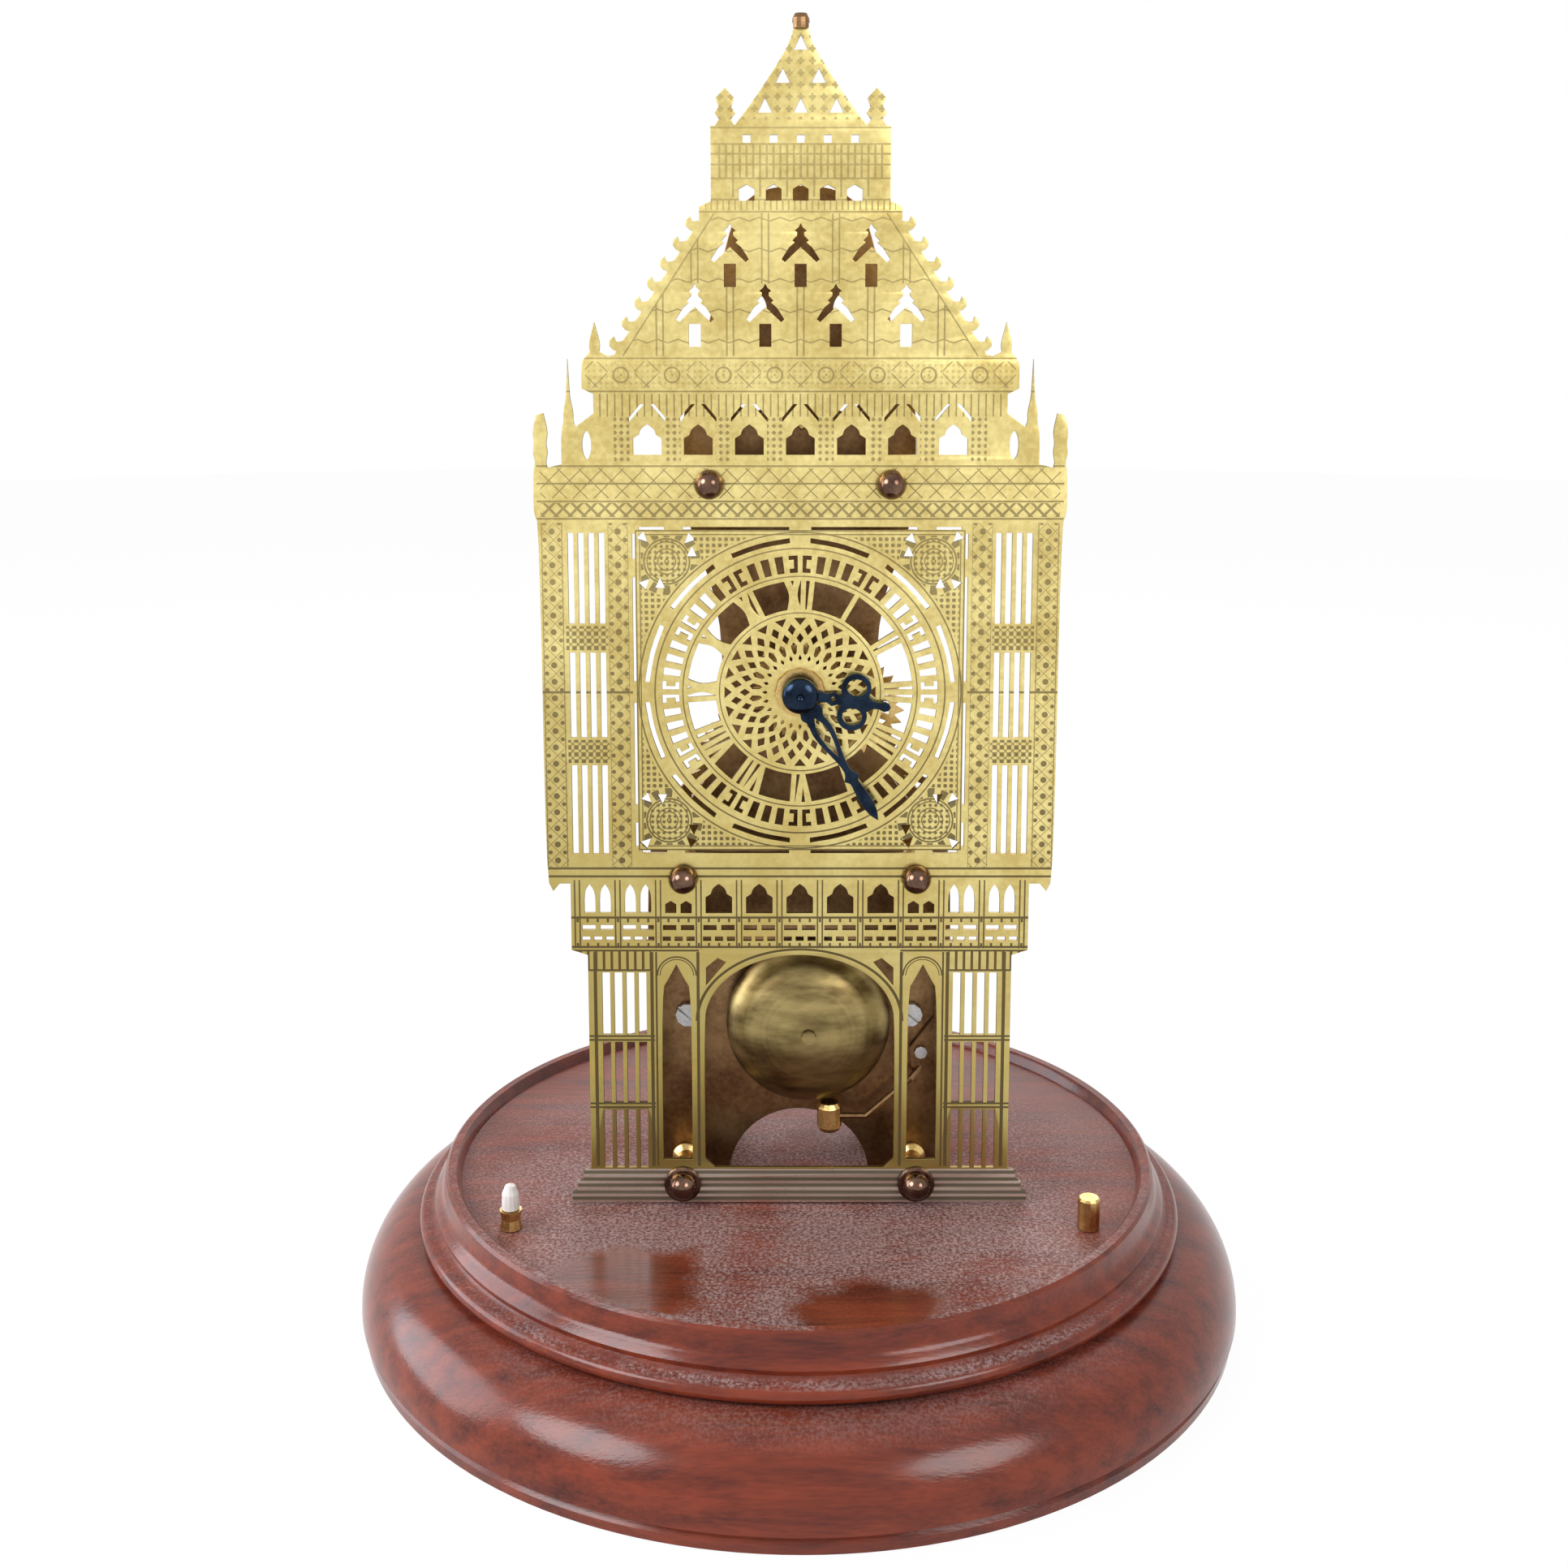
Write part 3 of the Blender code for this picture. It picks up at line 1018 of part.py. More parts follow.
def make_pillar(name, place, drilled):
    """A turned pillar riveted through the back plate; the lower ones are drilled for the base bolts."""
    front, back = FRONT_PLATE_BACK_Y + CLEARANCE, BACK_PLATE_Y - CLEARANCE
    collar, tenon = PILLAR_COLLAR_RADIUS, SCREW_SHANK_RADIUS
    pillar = turned(name, [(0, front), (collar, front), (PILLAR_RADIUS, front + collar),
                           (PILLAR_RADIUS, back - collar), (collar, back), (tenon, back),
                           (tenon, BACK_PLATE_BACK_Y), (0, BACK_PLATE_BACK_Y)], "brass", place, 6)
    if drilled:
        hole = upright_rod("bolt_hole", BASE_BOLT_RADIUS + CLEARANCE, FLOOR_Z, LOWER_POST_Z, place[0], BOLT_Y, 8)
        combine("DIFFERENCE", pillar, [hole], "brass")


def make_bolt(name, x):
    """A bolt from a counterbore under the base up into a lower pillar."""
    top, seat = LOWER_POST_Z - CLEARANCE, BASE_BOLT_SINK - CLEARANCE
    low = seat - BASE_BOLT_HEAD_HEIGHT
    bolt = turned(name, [(0, top), (BASE_BOLT_RADIUS, top), (BASE_BOLT_RADIUS, seat), (BASE_BOLT_HEAD_RADIUS, seat),
                         (BASE_BOLT_HEAD_RADIUS, low), (0, low)], "steel", segments=8)
    bolt.location = (x, BOLT_Y, 0)


def make_screw(name, place):
    """A cheese-headed screw through the front plate."""
    radius, shank = SCREW_HEAD_RADIUS, SCREW_SHANK_RADIUS
    seat = FRONT_PLATE_Y - CLEARANCE
    head = seat - SCREW_HEAD_HEIGHT
    body = turned(name, [(0, head), (radius, head), (radius, seat), (shank, seat), (shank, FRONT_PLATE_BACK_Y),
                         (0, FRONT_PLATE_BACK_Y)], "steel", place, 10)
    slot = block("screw_slot", (3 * radius, SCREW_HEAD_HEIGHT, radius * 0.3), (place[0], head, place[1]), None,
                 turn=radians(40))
    combine("DIFFERENCE", body, [slot], "steel")


def facing_gap(direction, leaves):
    """Phase of a pinion that shows a gap towards the wheel it meshes with."""
    return direction + pi + pi / leaves


def make_train():
    """Centre, third, fourth and escape arbors with their wheels."""
    centre_y, great_y = depth_y(CENTRE_DEPTH), depth_y(GREAT_DEPTH)
    third_y, fourth_y, escape_y = depth_y(THIRD_DEPTH), depth_y(FOURTH_DEPTH), depth_y(ESCAPE_DEPTH)
    overlap = (PINION_LENGTH - WHEEL_THICKNESS) / 2

    hands_front = HAND_NUT_SEAT_Y - HAND_NUT_HEIGHT * 0.5
    bare = turned("centre_arbor", [(0, hands_front), (CENTRE_ARBOR_RADIUS, hands_front),
                                   (CENTRE_ARBOR_RADIUS, BACK_PLATE_Y - CLEARANCE),
                                   (PIVOT_RADIUS, BACK_PLATE_Y - CLEARANCE), (PIVOT_RADIUS, BACK_PLATE_BACK_Y),
                                   (0, BACK_PLATE_BACK_Y)], "steel", DIAL_CENTRE, 8)
    leaves = sheet("centre_arbor_leaves", [toothed(CENTRE_PINION_LEAVES, GREAT_MODULE,
                                                   facing_gap(pi / 2, CENTRE_PINION_LEAVES), DIAL_CENTRE, leaf=True)],
                   PINION_LENGTH, great_y - overlap, "steel", DIAL_CENTRE)
    combine("UNION", leaves, [bare], "steel").name = "centre_arbor"
    wheel("centre_wheel", CENTRE_TEETH, CENTRE_MODULE, centre_y, DIAL_CENTRE, THIRD_ANGLE,
          bore=CENTRE_ARBOR_RADIUS + CLEARANCE)
    arbor = pinion_arbor("third_arbor", ARBOR_RADIUS, THIRD_PINION_LEAVES, CENTRE_MODULE, centre_y - overlap,
                         THIRD_CENTRE, facing_gap(THIRD_ANGLE, THIRD_PINION_LEAVES))
    wheel("third_wheel", THIRD_TEETH, THIRD_MODULE, third_y, THIRD_CENTRE, FOURTH_ANGLE, arbor)
    arbor = pinion_arbor("fourth_arbor", ARBOR_RADIUS, FOURTH_PINION_LEAVES, THIRD_MODULE, third_y - overlap,
                         FOURTH_CENTRE, facing_gap(FOURTH_ANGLE, FOURTH_PINION_LEAVES))
    wheel("fourth_wheel", FOURTH_TEETH, FOURTH_MODULE, fourth_y, FOURTH_CENTRE, ESCAPE_ANGLE, arbor)
    arbor = pinion_arbor("escape_arbor", ESCAPE_ARBOR_RADIUS, ESCAPE_PINION_LEAVES, FOURTH_MODULE,
                         fourth_y - overlap, ESCAPE_CENTRE, facing_gap(ESCAPE_ANGLE, ESCAPE_PINION_LEAVES))
    rim = []
    for tooth in range(ESCAPE_TEETH):
        angle, pitch = tau * tooth / ESCAPE_TEETH, tau / ESCAPE_TEETH
        rim += [polar(ESCAPE_RADIUS * 0.76, angle, ESCAPE_CENTRE), polar(ESCAPE_RADIUS, angle + 0.1 * pitch,
                ESCAPE_CENTRE), polar(ESCAPE_RADIUS * 0.8, angle + 0.45 * pitch, ESCAPE_CENTRE)]
    windows = crossings(ESCAPE_RADIUS * 0.3, ESCAPE_RADIUS * 0.62, WHEEL_ARMS, ESCAPE_RADIUS * 0.14, ESCAPE_CENTRE)
    blank = sheet("escape_wheel", [rim] + windows, WHEEL_THICKNESS, escape_y, "brass", ESCAPE_CENTRE)
    united("escape_wheel", [blank, arbor], "brass")


def make_escapement():
    """Pin lever, balance with a flat spiral spring, and the stud that holds the spring."""
    lever_y = depth_y(ESCAPE_DEPTH) - 2 * WHEEL_THICKNESS
    pinion_arbor("pallet_arbor", ESCAPE_ARBOR_RADIUS, 0, 0, 0, PALLET_CENTRE, 0)
    pin_radius = ESCAPE_RADIUS + PALLET_PIN_RADIUS + PALLET_PIN_STAND_OFF
    pins = [polar(pin_radius, pi / 2 + side * pi / 4, ESCAPE_CENTRE) for side in (-1, 1)]
    reach, drop = abs(pins[0][0] - PALLET_CENTRE[0]), PALLET_CENTRE[1] - pins[0][1]
    eye, fork = PALLET_PIN_RADIUS + 3 * CLEARANCE, BALANCE_DISTANCE - ROLLER_RADIUS - 2 * CLEARANCE
    hub = ARBOR_RADIUS + 3 * CLEARANCE
    half = [(0, -hub), (reach - eye, -drop - eye), (reach + eye, -drop - eye), (reach + eye, -drop + eye),
            (hub, hub * 0.6), (eye, 2 * hub), (eye * 0.7, fork * 0.8), (eye * 1.3, fork), (eye * 0.4, fork)]
    outline = half + [(0, fork * 0.9)] + [(-x, z) for x, z in reversed(half) if x]
    outline = [(x + PALLET_CENTRE[0], z + PALLET_CENTRE[1]) for x, z in outline]
    bore = circle(ESCAPE_ARBOR_RADIUS + CLEARANCE, PALLET_CENTRE, 6)
    lever = sheet("pallet_lever", [outline, bore], WHEEL_THICKNESS, lever_y, "steel", PALLET_CENTRE)
    pin_front, pin_back = lever_y + WHEEL_THICKNESS / 2, depth_y(ESCAPE_DEPTH) + WHEEL_THICKNESS
    united("pallet_lever", [lever] + [rod("pallet_pin", PALLET_PIN_RADIUS, (x, pin_front, z), (x, pin_back, z), "steel", 6)
                                      for x, z in pins], "steel")
    staff = ESCAPE_ARBOR_RADIUS
    front, back = FRONT_PLATE_Y, BACK_PLATE_BACK_Y
    inside, outside = FRONT_PLATE_BACK_Y + CLEARANCE, BACK_PLATE_Y - CLEARANCE
    axle = turned("balance_staff", [(0, front), (PIVOT_RADIUS, front), (PIVOT_RADIUS, inside), (staff, inside),
                             (staff, lever_y), (ROLLER_RADIUS, lever_y), (ROLLER_RADIUS, lever_y + WHEEL_THICKNESS),
                             (staff, lever_y + WHEEL_THICKNESS), (staff, outside), (PIVOT_RADIUS, outside),
                             (PIVOT_RADIUS, back), (0, back)], "steel", BALANCE_CENTRE, 8)
    rim_inner = BALANCE_RADIUS - BALANCE_RIM
    balance_y = depth_y(BALANCE_DEPTH)
    rim = sheet("balance_wheel", [circle(BALANCE_RADIUS, BALANCE_CENTRE, 24)]
                + crossings(ROLLER_RADIUS, rim_inner, 2, BALANCE_RIM, BALANCE_CENTRE, BALANCE_ARM_ANGLE),
                WHEEL_THICKNESS, balance_y, "brass", BALANCE_CENTRE)
    united("balance_wheel", [rim, axle], "brass")
    inner, outer = staff + CLEARANCE + SPRING_STRIP / 2, BALANCE_RADIUS * 0.55
    sheet("balance_spring", [spiral(inner, outer, BALANCE_SPRING_TURNS, SPRING_STRIP, BALANCE_CENTRE, 12)],
          WHEEL_THICKNESS * 0.6, depth_y(SPRING_DEPTH), "blued_steel", BALANCE_CENTRE)
    stud = towards(BALANCE_CENTRE, outer + SPRING_STRIP / 2 + CLEARANCE + STUD_SHANK, 0)
    end = BACK_PLATE_Y + PLATE_THICKNESS / 2
    stud = turned("balance_spring_stud", [(0, depth_y(SPRING_DEPTH)), (STUD_SHANK, depth_y(SPRING_DEPTH)),
                                          (STUD_SHANK, end), (0, end)], "brass", stud, 6)
    united("back_plate", [bpy.data.objects["back_plate"], stud], "brass")



def band(path, halves):
    """A strip along a bent line, as one outline, with its own half-width at each point."""
    left, right = [], []
    for i, ((x, z), half) in enumerate(zip(path, halves)):
        before, after = path[max(i - 1, 0)], path[min(i + 1, len(path) - 1)]
        run, rise = after[0] - before[0], after[1] - before[1]
        length = hypot(run, rise)
        left.append((x - rise / length * half, z + run / length * half))
        right.append((x + rise / length * half, z - run / length * half))
    return left + right[::-1]


def spiral(inner, outer, turns, thickness, centre, per_turn):
    """A flat band wound from an inner to an outer radius, as one closed outline."""
    count = turns * per_turn
    radii = [inner + (outer - inner) * i / count for i in range(count + 1)]
    outside = [polar(radius + thickness / 2, tau * i / per_turn, centre) for i, radius in enumerate(radii)]
    inside = [polar(radius - thickness / 2, tau * i / per_turn, centre) for i, radius in enumerate(radii)]
    return outside + inside[::-1]


def make_barrel():
    """Mainspring barrel with the great wheel round it, its lid, spring, arbor and ratchet."""
    x, z = BARREL_CENTRE
    great_y = depth_y(GREAT_DEPTH)
    back = great_y + GREAT_WHEEL_THICKNESS + CLEARANCE
    front = back - BARREL_DEPTH
    bore = BARREL_ARBOR_RADIUS + CLEARANCE
    inner = BARREL_RADIUS - BARREL_WALL
    end = back + BARREL_WALL
    floor = back - CLEARANCE
    drum = turned("barrel", [(bore, floor), (inner, floor), (inner, front), (BARREL_RADIUS, front),
                             (BARREL_RADIUS, end), (bore, end)], "brass", BARREL_CENTRE, 24, closed=True)
    lid_y = front + CLEARANCE
    sheet("barrel_lid", [circle(inner - CLEARANCE, BARREL_CENTRE, 24), circle(bore, BARREL_CENTRE, 10)],
          BARREL_WALL, lid_y, "brass", BARREL_CENTRE)
    great = toothed(GREAT_TEETH, GREAT_MODULE, pi / 2, BARREL_CENTRE)
    ring = sheet("great_wheel", [great, circle(BARREL_RADIUS - BARREL_WALL / 2, BARREL_CENTRE, 24)],
                 GREAT_WHEEL_THICKNESS, great_y, "brass", BARREL_CENTRE)
    united("barrel", [drum, ring], "brass")
    spring_front, spring_back = lid_y + BARREL_WALL + CLEARANCE, floor - CLEARANCE
    sheet("mainspring", [spiral(bore + MAINSPRING_THICKNESS / 2, inner - CLEARANCE - MAINSPRING_THICKNESS / 2,
                                MAINSPRING_TURNS, MAINSPRING_THICKNESS, BARREL_CENTRE, 12)],
          spring_back - spring_front, spring_front, "steel", BARREL_CENTRE)
    pivot = BARREL_PIVOT_RADIUS
    round_end = BACK_PLATE_BACK_Y + CLEARANCE
    rounded = turned("barrel_arbor_rod", [(0, FRONT_PLATE_Y), (pivot, FRONT_PLATE_Y),
                                          (pivot, FRONT_PLATE_BACK_Y + CLEARANCE),
                                          (BARREL_ARBOR_RADIUS, FRONT_PLATE_BACK_Y + CLEARANCE),
                                          (BARREL_ARBOR_RADIUS, round_end), (0, round_end)], "steel",
                     BARREL_CENTRE, 10)
    square = block("winding_square", (WINDING_SQUARE, WINDING_LENGTH + 2 * OVERRUN, WINDING_SQUARE),
                   (x, round_end + WINDING_LENGTH / 2 - OVERRUN, z), None, bevel=WINDING_SQUARE * 0.08)
    ratchet = []
    for tooth in range(RATCHET_TEETH):
        angle = tau * tooth / RATCHET_TEETH
        ratchet += [polar(RATCHET_RADIUS, angle, BARREL_CENTRE),
                    polar(RATCHET_RADIUS - RATCHET_TOOTH, angle + 0.05 * tau / RATCHET_TEETH, BARREL_CENTRE)]
    ratchet_y = round_end + CLEARANCE
    toothed_disc = sheet("ratchet_wheel", [ratchet], WHEEL_THICKNESS, ratchet_y, "steel", BARREL_CENTRE)
    united("barrel_arbor", [toothed_disc, rounded, square], "steel")
    click = [(0.12, -0.1), (0.12, 0.1), (0, 0.16), (-0.12, 0.1), (-0.85, 0.04), (-0.98, -0.1), (-0.8, -0.06),
             (-0.12, -0.1)]
    outline = [(CLICK_CENTRE[0] + a * CLICK_LENGTH, CLICK_CENTRE[1] + b * CLICK_LENGTH) for a, b in click]
    sheet("click", [outline, circle(STUD_SHANK + CLEARANCE, CLICK_CENTRE, 8)], WHEEL_THICKNESS, ratchet_y, "steel",
          CLICK_CENTRE)
    click_stud(ratchet_y)
    bend = [(0, 0.2), (-0.55, 0.36), (-0.95, 0.42), (-0.97, 0.48), (-0.5, 0.44), (0.1, 0.3)]
    spring = [(CLICK_CENTRE[0] + a * CLICK_LENGTH, CLICK_CENTRE[1] + b * CLICK_LENGTH) for a, b in bend]
    sheet("click_spring", [spring], WHEEL_THICKNESS * 0.5, round_end, "blued_steel", CLICK_CENTRE)


CLICK_CENTRE = (BARREL_CENTRE[0] + CLICK_LENGTH, BARREL_CENTRE[1] + RATCHET_RADIUS + CLICK_RISE)


def click_stud(seat_y):
    head = seat_y + WHEEL_THICKNESS + CLEARANCE
    radius = 2 * STUD_SHANK
    turned("click_screw", [(0, BACK_PLATE_Y), (STUD_SHANK, BACK_PLATE_Y), (STUD_SHANK, head), (radius, head),
                           (radius, head + STUD_SHANK), (0, head + STUD_SHANK)], "steel", CLICK_CENTRE, 8)


def make_motion_work():
    """Cannon pinion, minute wheel and hour wheel between the dial and the front plate."""
    bore = CENTRE_ARBOR_RADIUS + CLEARANCE
    snail_end = HAMMER_LEVER_Y + WHEEL_THICKNESS
    tube = turned("cannon_tube", [(bore, MINUTE_HAND_Y), (CANNON_TUBE_RADIUS, MINUTE_HAND_Y),
                                  (CANNON_TUBE_RADIUS, snail_end), (bore, snail_end)], "steel",
                  DIAL_CENTRE, 10, closed=True)
    leaves = sheet("cannon_pinion", [toothed(CANNON_LEAVES, MOTION_MODULE, facing_gap(MOTION_ANGLE + pi, CANNON_LEAVES),
                                             DIAL_CENTRE, leaf=True), circle(bore + CLEARANCE, DIAL_CENTRE, 10)],
                   CANNON_BACK_Y - MINUTE_WHEEL_Y + CLEARANCE, MINUTE_WHEEL_Y - 2 * CLEARANCE, "steel", DIAL_CENTRE)
    steps, least, first = 18, SNAIL_LEAST_SHARE, pi - radians(MINUTE_HAND_DEGREES)
    snail = [polar(SNAIL_RADIUS * (least + (1 - least) * i / steps), first + tau * i / steps, DIAL_CENTRE)
             for i in range(steps + 1)]
    cam = sheet("strike_snail", [snail, circle(bore + CLEARANCE, DIAL_CENTRE, 10)], WHEEL_THICKNESS - CLEARANCE,
                HAMMER_LEVER_Y, "steel", DIAL_CENTRE)
    united("cannon_pinion", [leaves, tube, cam], "steel")
    wheel_blank = [toothed(MINUTE_WHEEL_TEETH, MOTION_MODULE, MOTION_ANGLE + pi, MINUTE_WHEEL_CENTRE),
                   circle(STUD_SHANK + CLEARANCE, MINUTE_WHEEL_CENTRE, 8)]
    wheel_blank += crossings(HOUR_PINION_LEAVES * HOUR_MODULE * 0.62, MINUTE_WHEEL_TEETH * MOTION_MODULE * 0.38,
                             WHEEL_ARMS, WHEEL_ARM_WIDTH, MINUTE_WHEEL_CENTRE, MOTION_ANGLE)
    minute = sheet("minute_wheel", wheel_blank, WHEEL_THICKNESS, MINUTE_WHEEL_Y, "brass", MINUTE_WHEEL_CENTRE)
    pinion = sheet("minute_pinion", [toothed(HOUR_PINION_LEAVES, HOUR_MODULE,
                                             facing_gap(MOTION_ANGLE, HOUR_PINION_LEAVES), MINUTE_WHEEL_CENTRE,
                                             leaf=True), circle(STUD_SHANK + CLEARANCE, MINUTE_WHEEL_CENTRE, 8)],
                   MINUTE_WHEEL_Y - HOUR_WHEEL_Y + 2 * CLEARANCE, HOUR_WHEEL_Y - CLEARANCE, "brass",
                   MINUTE_WHEEL_CENTRE)
    combine("UNION", minute, [pinion], "brass")
    stud_front = HOUR_WHEEL_Y - 2 * CLEARANCE
    seat, cap = FRONT_PLATE_Y - CLEARANCE, 2 * STUD_SHANK
    head = MINUTE_WHEEL_Y + WHEEL_THICKNESS + CLEARANCE
    turned("minute_wheel_stud", [(0, stud_front), (STUD_SHANK, stud_front), (STUD_SHANK, head), (cap, head),
                                 (cap, seat), (STUD_SHANK, seat), (STUD_SHANK, FRONT_PLATE_BACK_Y),
                                 (0, FRONT_PLATE_BACK_Y)], "steel", MINUTE_WHEEL_CENTRE, 8)
    inner = CANNON_TUBE_RADIUS + CLEARANCE
    pipe = turned("hour_pipe", [(inner, HOUR_HAND_Y), (HOUR_PIPE_RADIUS, HOUR_HAND_Y),
                                (HOUR_PIPE_RADIUS, HOUR_WHEEL_Y + WHEEL_THICKNESS),
                                (inner, HOUR_WHEEL_Y + WHEEL_THICKNESS)], "brass", DIAL_CENTRE, 10, closed=True)
    blank = [toothed(HOUR_WHEEL_TEETH, HOUR_MODULE, MOTION_ANGLE, DIAL_CENTRE),
             circle(inner + CLEARANCE, DIAL_CENTRE, 10)]
    blank += crossings(HOUR_PIPE_RADIUS * 1.5, HOUR_WHEEL_TEETH * HOUR_MODULE * 0.38, WHEEL_ARMS, WHEEL_ARM_WIDTH,
                       DIAL_CENTRE)
    hour = sheet("hour_wheel", blank, WHEEL_THICKNESS - CLEARANCE, HOUR_WHEEL_Y, "brass", DIAL_CENTRE)
    combine("UNION", hour, [pipe], "brass")
    flange = SHEET_FRONT_Y - CLEARANCE
    clear = HOUR_PIPE_RADIUS + CLEARANCE
    turned("dial_bush", [(clear, flange - BUSH_FLANGE), (DIAL_BUSH_RADIUS, flange - BUSH_FLANGE),
                         (DIAL_BUSH_RADIUS, flange), (BUSH_SLEEVE_RADIUS, flange),
                         (BUSH_SLEEVE_RADIUS, SHEET_BACK_Y),
                         (clear, SHEET_BACK_Y)], "brass", DIAL_CENTRE, 12, closed=True)


MINUTE_HAND_SHARES = [(0.085, 0.15), (0.055, 0.19), (0.072, 0.27), (0.062, 0.37), (0.035, 0.48), (0.022, 0.56),
                      (0.022, 0.62), (0.055, 0.66), (0.024, 0.69), (0.034, 0.75), (0.04, 0.85), (0.03, 0.94)]
MINUTE_LOOP_SHARES = [(0, 0.18), (0.03, 0.24), (0.038, 0.3), (0.03, 0.39), (0, 0.5)]
HOUR_HAND_SHARES = [(0.15, 0.26), (0.1, 0.33), (0.19, 0.37), (0.31, 0.44), (0.35, 0.52), (0.31, 0.6), (0.21, 0.64),
                    (0.25, 0.71), (0.16, 0.77), (0.09, 0.79), (0.085, 0.88), (0.07, 0.95)]
HOUR_LOOP_SHARES = [(0.075, 0.42), (0.2, 0.44), (0.26, 0.52), (0.22, 0.58), (0.1, 0.6)]


def hand(name, shares, length, degrees_past_twelve, bore, hub, front_y, loops):
    """A blued hand: a round hub, then an outline in shares of its length, and its loops."""
    turn = -radians(degrees_past_twelve)

    def place(points):
        return [(x * cos(turn) - z * sin(turn), x * sin(turn) + z * cos(turn) + DIAL_Z) for x, z in points]

    right = [(x * length, z * length) for x, z in shares]
    gap = atan2(right[0][0], right[0][1])
    round_hub = arc(hub, pi / 2 + gap, pi / 2 - gap + tau, 10)
    outline = round_hub + right + [(0, length)] + [(-x, z) for x, z in reversed(right)]
    holes = [[(x * length, z * length) for x, z in loop] for loop in loops]
    sheet(name, [place(outline), circle(bore, DIAL_CENTRE, 10)] + [place(hole) for hole in holes], HAND_THICKNESS,
          front_y, "blued_steel", DIAL_CENTRE)


def make_hands():
    tear = MINUTE_LOOP_SHARES + [(-x, z) for x, z in reversed(MINUTE_LOOP_SHARES) if x]
    hand("minute_hand", MINUTE_HAND_SHARES, MINUTE_HAND_LENGTH, MINUTE_HAND_DEGREES, CANNON_TUBE_RADIUS + CLEARANCE,
         HAND_NUT_RADIUS * 0.9, MINUTE_HAND_Y, [tear])
    loops = [HOUR_LOOP_SHARES, [(-x, z) for x, z in reversed(HOUR_LOOP_SHARES)]]
    hand("hour_hand", HOUR_HAND_SHARES, HOUR_HAND_LENGTH, HOUR_HAND_DEGREES, HOUR_PIPE_RADIUS + CLEARANCE,
         DIAL_BUSH_RADIUS * 0.9, HOUR_HAND_Y, loops)
    seat = HAND_NUT_SEAT_Y
    bore, depth = CENTRE_ARBOR_RADIUS + CLEARANCE, HAND_NUT_HEIGHT * 0.5 + CLEARANCE
    dome = [(HAND_NUT_RADIUS * sin(radians(a)), seat - HAND_NUT_HEIGHT * cos(radians(a))) for a in (0, 30, 60)]
    turned("hand_nut", dome + [(HAND_NUT_RADIUS, seat), (bore, seat), (bore, seat - depth), (0, seat - depth)],
           "blued_steel", DIAL_CENTRE, 12)


def make_bell():
    """A shallow bell facing forwards, on a post from the front plate, held by a screw."""
    wall, hole = BELL_WALL, BELL_TENON_RADIUS + CLEARANCE
    angles = [radians(a) for a in (22, 40, 58, 75, 90)]
    outer = [(BELL_RADIUS * sin(a), BELL_RIM_Y - BELL_HEIGHT * cos(a)) for a in angles]
    inner = [((BELL_RADIUS - wall) * sin(a), BELL_RIM_Y - (BELL_HEIGHT - wall) * cos(a)) for a in angles]
    crown = [(hole, BELL_CROWN_Y), (BELL_RADIUS * 0.16, BELL_CROWN_Y)]
    inside = [(hole, BELL_CROWN_Y + wall)]
    turned("bell", crown + outer + inner[::-1] + inside, "old_brass", BELL_CENTRE, 20, closed=True)
    seat = BELL_CROWN_Y + wall + CLEARANCE
    tenon = BELL_TENON_RADIUS
    turned("bell_post", [(0, seat), (BELL_POST_RADIUS, seat), (BELL_POST_RADIUS, FRONT_PLATE_Y - CLEARANCE),
                         (tenon, FRONT_PLATE_Y - CLEARANCE), (tenon, FRONT_PLATE_BACK_Y), (0, FRONT_PLATE_BACK_Y)],
           "brass", BELL_CENTRE, 8)
    head = BELL_CROWN_Y - CLEARANCE
    height = BELL_FRONT_GAP - 2 * CLEARANCE
    turned("bell_screw", [(0, head - height), (BELL_POST_RADIUS, head - height), (BELL_POST_RADIUS, head),
                          (tenon, head), (tenon, seat - CLEARANCE), (0, seat - CLEARANCE)], "steel", BELL_CENTRE, 8)


